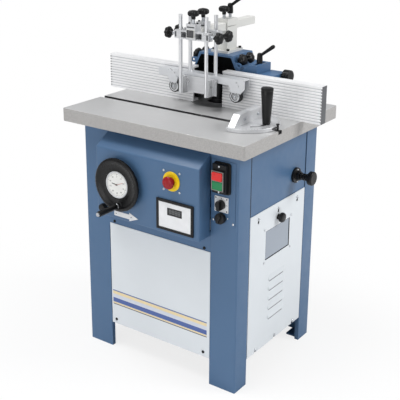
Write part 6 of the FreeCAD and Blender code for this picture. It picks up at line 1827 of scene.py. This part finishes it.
@dataclass
class PressureUnit(Assembly):
    """Square tube, crossheads, rods, guard, rollers and hand knobs."""

    front_rods: float = -50.0
    rear_rods: float = 3.0
    rod_x: float = 50.0
    rod_room: float = 6.3
    rod_play: float = 0.98
    arm_front: float = -48.0
    arm_top: float = 943.0
    tyre_inside: float = 13.8
    axle_z: float = 896.0
    tube_z: float = 1090.0
    knob_z: float = 1083.0
    window_x: tuple[Span, Span] = ((-64.0, -57.8), (57.8, 64.0))
    window_y: Span = (-12.15, -11.4)
    window_z: Span = (1074.5, 1091.5)
    slit_shade_half: Span = (14.5, 15.15)
    slit_z: Span = (1108.6, 1111.4)
    head_top: float = 1119.8
    tube_half: Span = (14.0, 12.0)
    recess_depth: Span = (5.0, 9.0)
    groove_depth: Span = (6.0, 7.4)
    groove_y: Span = (-47.5, -20.0)

    def build(self) -> None:
        """Dress every piece of the unit."""
        heads = (("crosshead_front", self.front_rods), ("crosshead_rear", self.rear_rods))
        # painted shade: the inside of the square tube is near-black for the shadow there
        self.sheath("tube", OFF_WHITE, 1.4, [Zone(SHADE_LINING, self.bore)])
        for node, y in heads:
            # painted shade: the floors of the crosshead's windows are dark grey
            self.sheath(node, DRAWN, 0.8, [Zone(RECESS_SHADE, self.recess(y))])
        # painted shade: the floors of the grooves in the guard's arms are dark grey
        guard_zones = [Zone(RECESS_SHADE, self.arm_groove), Zone(RODS, self.rod(self.front_rods))]
        self.ease_rods(self.sheath("guard", DRAWN, zones=guard_zones))
        self.sheath("roller_shoe", SHEET, zones=[Zone(RODS, self.rod(self.rear_rods))])
        for node, x in ROLLERS:
            self.sheath(node, HUB_WHITE, 0.5, [Zone(TYRE, self.tyre(x))])
        self.rollers()
        self.tube_plugs()
        for node, y in heads:
            # painted shade: thin dark plates on the crosshead's face stand for the shadow in its
            # end windows
            windows, (front, back) = Mould(), self.window_y
            for x in self.window_x:
                windows.pad(x, (y + front, y + back), self.window_z, corner=1.0)
            self.piece(f"{node}_end_window_shades", windows, RECESS_SHADE, node, Slot.BLACK)
        for node, y in heads:
            # painted shade: a dark bar stands for the shadow in the slit across each crosshead
            wide, deep = self.slit_shade_half
            slit_shade = boxed([((-wide, wide), (y - deep, y + deep), self.slit_z)])
            self.piece(f"{node}_slit", slit_shade, RECESS_SHADE, node, Slot.BLACK)
        for node, y in heads:
            feet = [(-12.0, y - 6.0, self.head_top), (13.0, y + 3.0, self.head_top)]
            screws = turned(button_head(3.4, 4.2, 1.7), feet, Axis.UP, 24)
            self.piece(f"{node}_set_screws", screws, DARK_STEEL, node, Slot.STEEL)
        screw = turned(button_head(4.0, 5.0, 2.0), [(-10.0, 140.0, 1113.8)], Axis.UP, 28)
        self.piece("tower_set_screw", screw, DARK_STEEL, "tower", Slot.STEEL)
        self.knobs()

    def rollers(self) -> None:
        """Pale rims between the rollers' hubs and tyres, and the heads of their axles."""
        for node, x in ROLLERS:
            rims = turned(ROLLER_RIM, [(x, -6.0, self.axle_z)], Axis.FRONT, 64)
            rims.turn(ROLLER_RIM, (x, 12.0, self.axle_z), Axis.BACK, 64)
            self.piece(f"{node}_rims", rims, HUB_WHITE, node, Slot.STEEL)
        feet = [(x, -9.2, self.axle_z) for _, x in ROLLERS]
        heads = turned(button_head(4.6, 2.4, 1.8), feet, Axis.FRONT, 28)
        self.piece("roller_axle_heads", heads, ZINC, "roller_shoe", Slot.STEEL)

    def tube_plugs(self) -> None:
        """Ribbed plugs in both ends of the square tube."""
        mould, z = Mould(), self.tube_z
        for body, tall, wide in TUBE_PLUGS:
            mould.pad((-11.9, 11.9), body, (z - 9.9, z + 9.9), corner=1.2)
            for shift in (-6.0, 0.0, 6.0):
                mould.block((shift - 0.8, shift + 0.8), tall, (z - 9.0, z + 9.0))
                mould.block((-11.0, 11.0), wide, (z + shift - 0.7, z + shift + 0.7))
        self.piece("tube_plugs", mould, TUBE_PLUG, "tube", Slot.BLACK)

    def knobs(self) -> None:
        """Hand knobs on the crossheads and on the tower."""
        up = Axis.UP.vector()
        HandKnob(self.shop, "tower_knob", "tower_knob", (0.0, 122.0, 1114.0), up, tail=10.4).build()
        for end, y in (("front", self.front_rods), ("rear", self.rear_rods)):
            top = f"top_knob_{end}"
            HandKnob(self.shop, top, top, (0.0, y, 1120.0), up, tail=12.0).build()
            for label, side in (("left", -1), ("right", 1)):
                node, seat = f"side_knob_{end}_{label}", (side * 66.0, y, self.knob_z)
                HandKnob(self.shop, node, node, seat, Vector((side, 0, 0)), tail=9.4).build()

    def ease_rods(self, guard: bpy.types.Object) -> None:
        """Give the guard's rods a little play in the crosshead's bores.

        Args:
            guard: the dressed guard.
        """
        for vert in guard.data.vertices:
            place = vert.co / MM
            centre = Vector((math.copysign(self.rod_x, place.x), self.front_rods, place.z))
            free = place.y < self.arm_front + 0.1 or place.z > self.arm_top + 0.4
            if free and (place - centre).length < self.rod_room:
                vert.co = (centre + (place - centre) * self.rod_play) * MM

    def bore(self, middle: Vector, normal: Vector) -> bool:
        """Whether a face lines the square tube, where near-black painted shade stands for the
        shadow inside.

        Args:
            middle: middle of the face.
            normal: its outward direction.

        Returns:
            Whether it does.
        """
        rise = self.tube_z - middle.z
        near = abs(middle.x) < self.tube_half[0] and abs(rise) < self.tube_half[1]
        return near and (normal.x * -middle.x + normal.z * rise > 0 or normal.y < -FACING)

    def arm_groove(self, middle: Vector, normal: Vector) -> bool:
        """Whether a face is the floor of a groove in the guard's arms, which gets a darker painted
        shade.

        Args:
            middle: middle of the face.
            normal: its outward direction.

        Returns:
            Whether it is.
        """
        (near, far), (front, back) = self.groove_depth, self.groove_y
        depth = abs(abs(middle.x) - self.rod_x)
        return abs(normal.x) > FACING and near < depth < far and front < middle.y < back

    def recess(self, y: float) -> Where:
        """Test for the floors of a crosshead's windows, which get a darker painted shade."""
        near, far = self.recess_depth
        return lambda middle, normal: normal.y < -FACING and near < middle.y - y < far

    def rod(self, y: float) -> Where:
        """Test for the pair of rods at a depth."""
        return lambda middle, _normal: (
            math.hypot(abs(middle.x) - self.rod_x, middle.y - y) < self.rod_room
        )

    def tyre(self, x: float) -> Where:
        """Test for the tyre of the roller at a place across the fence."""
        return lambda middle, _normal: (
            math.hypot(middle.x - x, middle.z - self.axle_z) > self.tyre_inside
        )


MITRE_GRIP = (
    (0, -18.3), (5.0, -18.3), (5.0, 0.1), (11.2, 0.1), (12.0, 1.0), (12.3, 6.0), (14.0, 32.0),
    (15.8, 60.0), (17.6, 88.0), (18.4, 101.0), (18.0, 102.0), (18.0, 103.4), (18.6, 104.4),
    (18.9, 108.6), (18.2, 110.8), (16.4, 111.9), (0, 112.0),
)
THUMB_SCREW = ((0, 0), (3.2, 0), (3.2, 2.0), (5.2, 2.6), (5.2, 6.0), (4.4, 6.8), (0, 6.8))


@dataclass
class MitreGauge(Assembly):
    """Mitre gauge with its black handle, scale and screws."""

    pivot_x: float = 235.0
    handle_x: float = 301.0
    face_x: float = 248.0
    pointer: Point = (341.0, SLOT_Y, 856.2)
    plate_top: float = 854.8
    scale_radius: float = 98.0

    def build(self) -> None:
        """Dress the castings, then add the handle, the scale and the screws."""
        self.sheath("mitre_head", CAST_ALU, 1.4)
        self.sheath("mitre_bar", DARK_STEEL, 0.5)
        foot = (self.handle_x, SLOT_Y, self.plate_top + 0.3)
        grip = turned(MITRE_GRIP, [foot], Axis.UP, 72)
        self.piece("mitre_grip", grip, BLACK, "mitre_handle", Slot.BLACK, stands=True)
        self.scale()
        feet = [(self.face_x, SLOT_Y + y, self.plate_top + 16.0) for y in (-38.0, 38.0)]
        screws = turned(button_head(5.4, 3.4, 2.6), feet, Axis.RIGHT, 32)
        self.piece("mitre_face_screws", screws, ZINC, "mitre_head", Slot.STEEL)
        thumb = turned(THUMB_SCREW, [self.pointer], Axis.UP, 18)
        self.piece("pointer_thumb_screw", thumb, DARK_STEEL, "mitre_bar", Slot.STEEL, 0.3)

    def scale(self) -> None:
        """Engraved marks along the plate's round edge."""
        mould, end = Mould(), self.pivot_x + self.scale_radius
        y, z = (SLOT_Y - 0.3, SLOT_Y + 0.3), (self.plate_top - 0.1, self.plate_top + 0.12)
        for step in range(-12, 13):
            length = 5.5 if step % 3 else 9.0
            verts = mould.block((end - length, end), y, z)
            mould.spin(verts, 5.0 * step, Axis.UP, (self.pivot_x, SLOT_Y, 0))
        self.piece("mitre_scale", mould, INK_BLACK, "mitre_head", Slot.RIBBED)


DRIVE_PARTS = (  # node, finish, edge rounding
    ("slideway", MACHINED, 1.2),
    ("spindle_housing", MACHINED, 1.2),
    ("motor", MOTOR, 2.0),
    ("belt", BELT_AND_SHADE, 0.5),
    ("spindle", DARK_STEEL, 0.5),
    ("spacer_rings", DARK_STEEL, 0.5),
    ("motor_pulley", STEEL, 0.5),
    ("lift_screw", STEEL, 0.5),
)


class Drive(Assembly):
    """Slideway, spindle unit, motor, belt and lift screw under the table."""

    def build(self) -> None:
        """Dress the hidden machinery."""
        for node, finish, size in DRIVE_PARTS:
            self.sheath(node, finish, size)


def main() -> None:
    """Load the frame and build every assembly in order."""
    logging.basicConfig(level=logging.INFO, format="%(name)s: %(message)s")
    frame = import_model()
    shop = Workshop(frame)
    kinds = (
        Cabinet, SideDoor, Console, Handwheel, Switchgear, Table, Fence, Hood, PressureUnit,
        MitreGauge, Drive,
    )
    for kind in kinds:
        log.info("building the %s", kind.__name__)
        kind(shop).build()
    Studio().build()


if __name__ == "__main__":
    main()
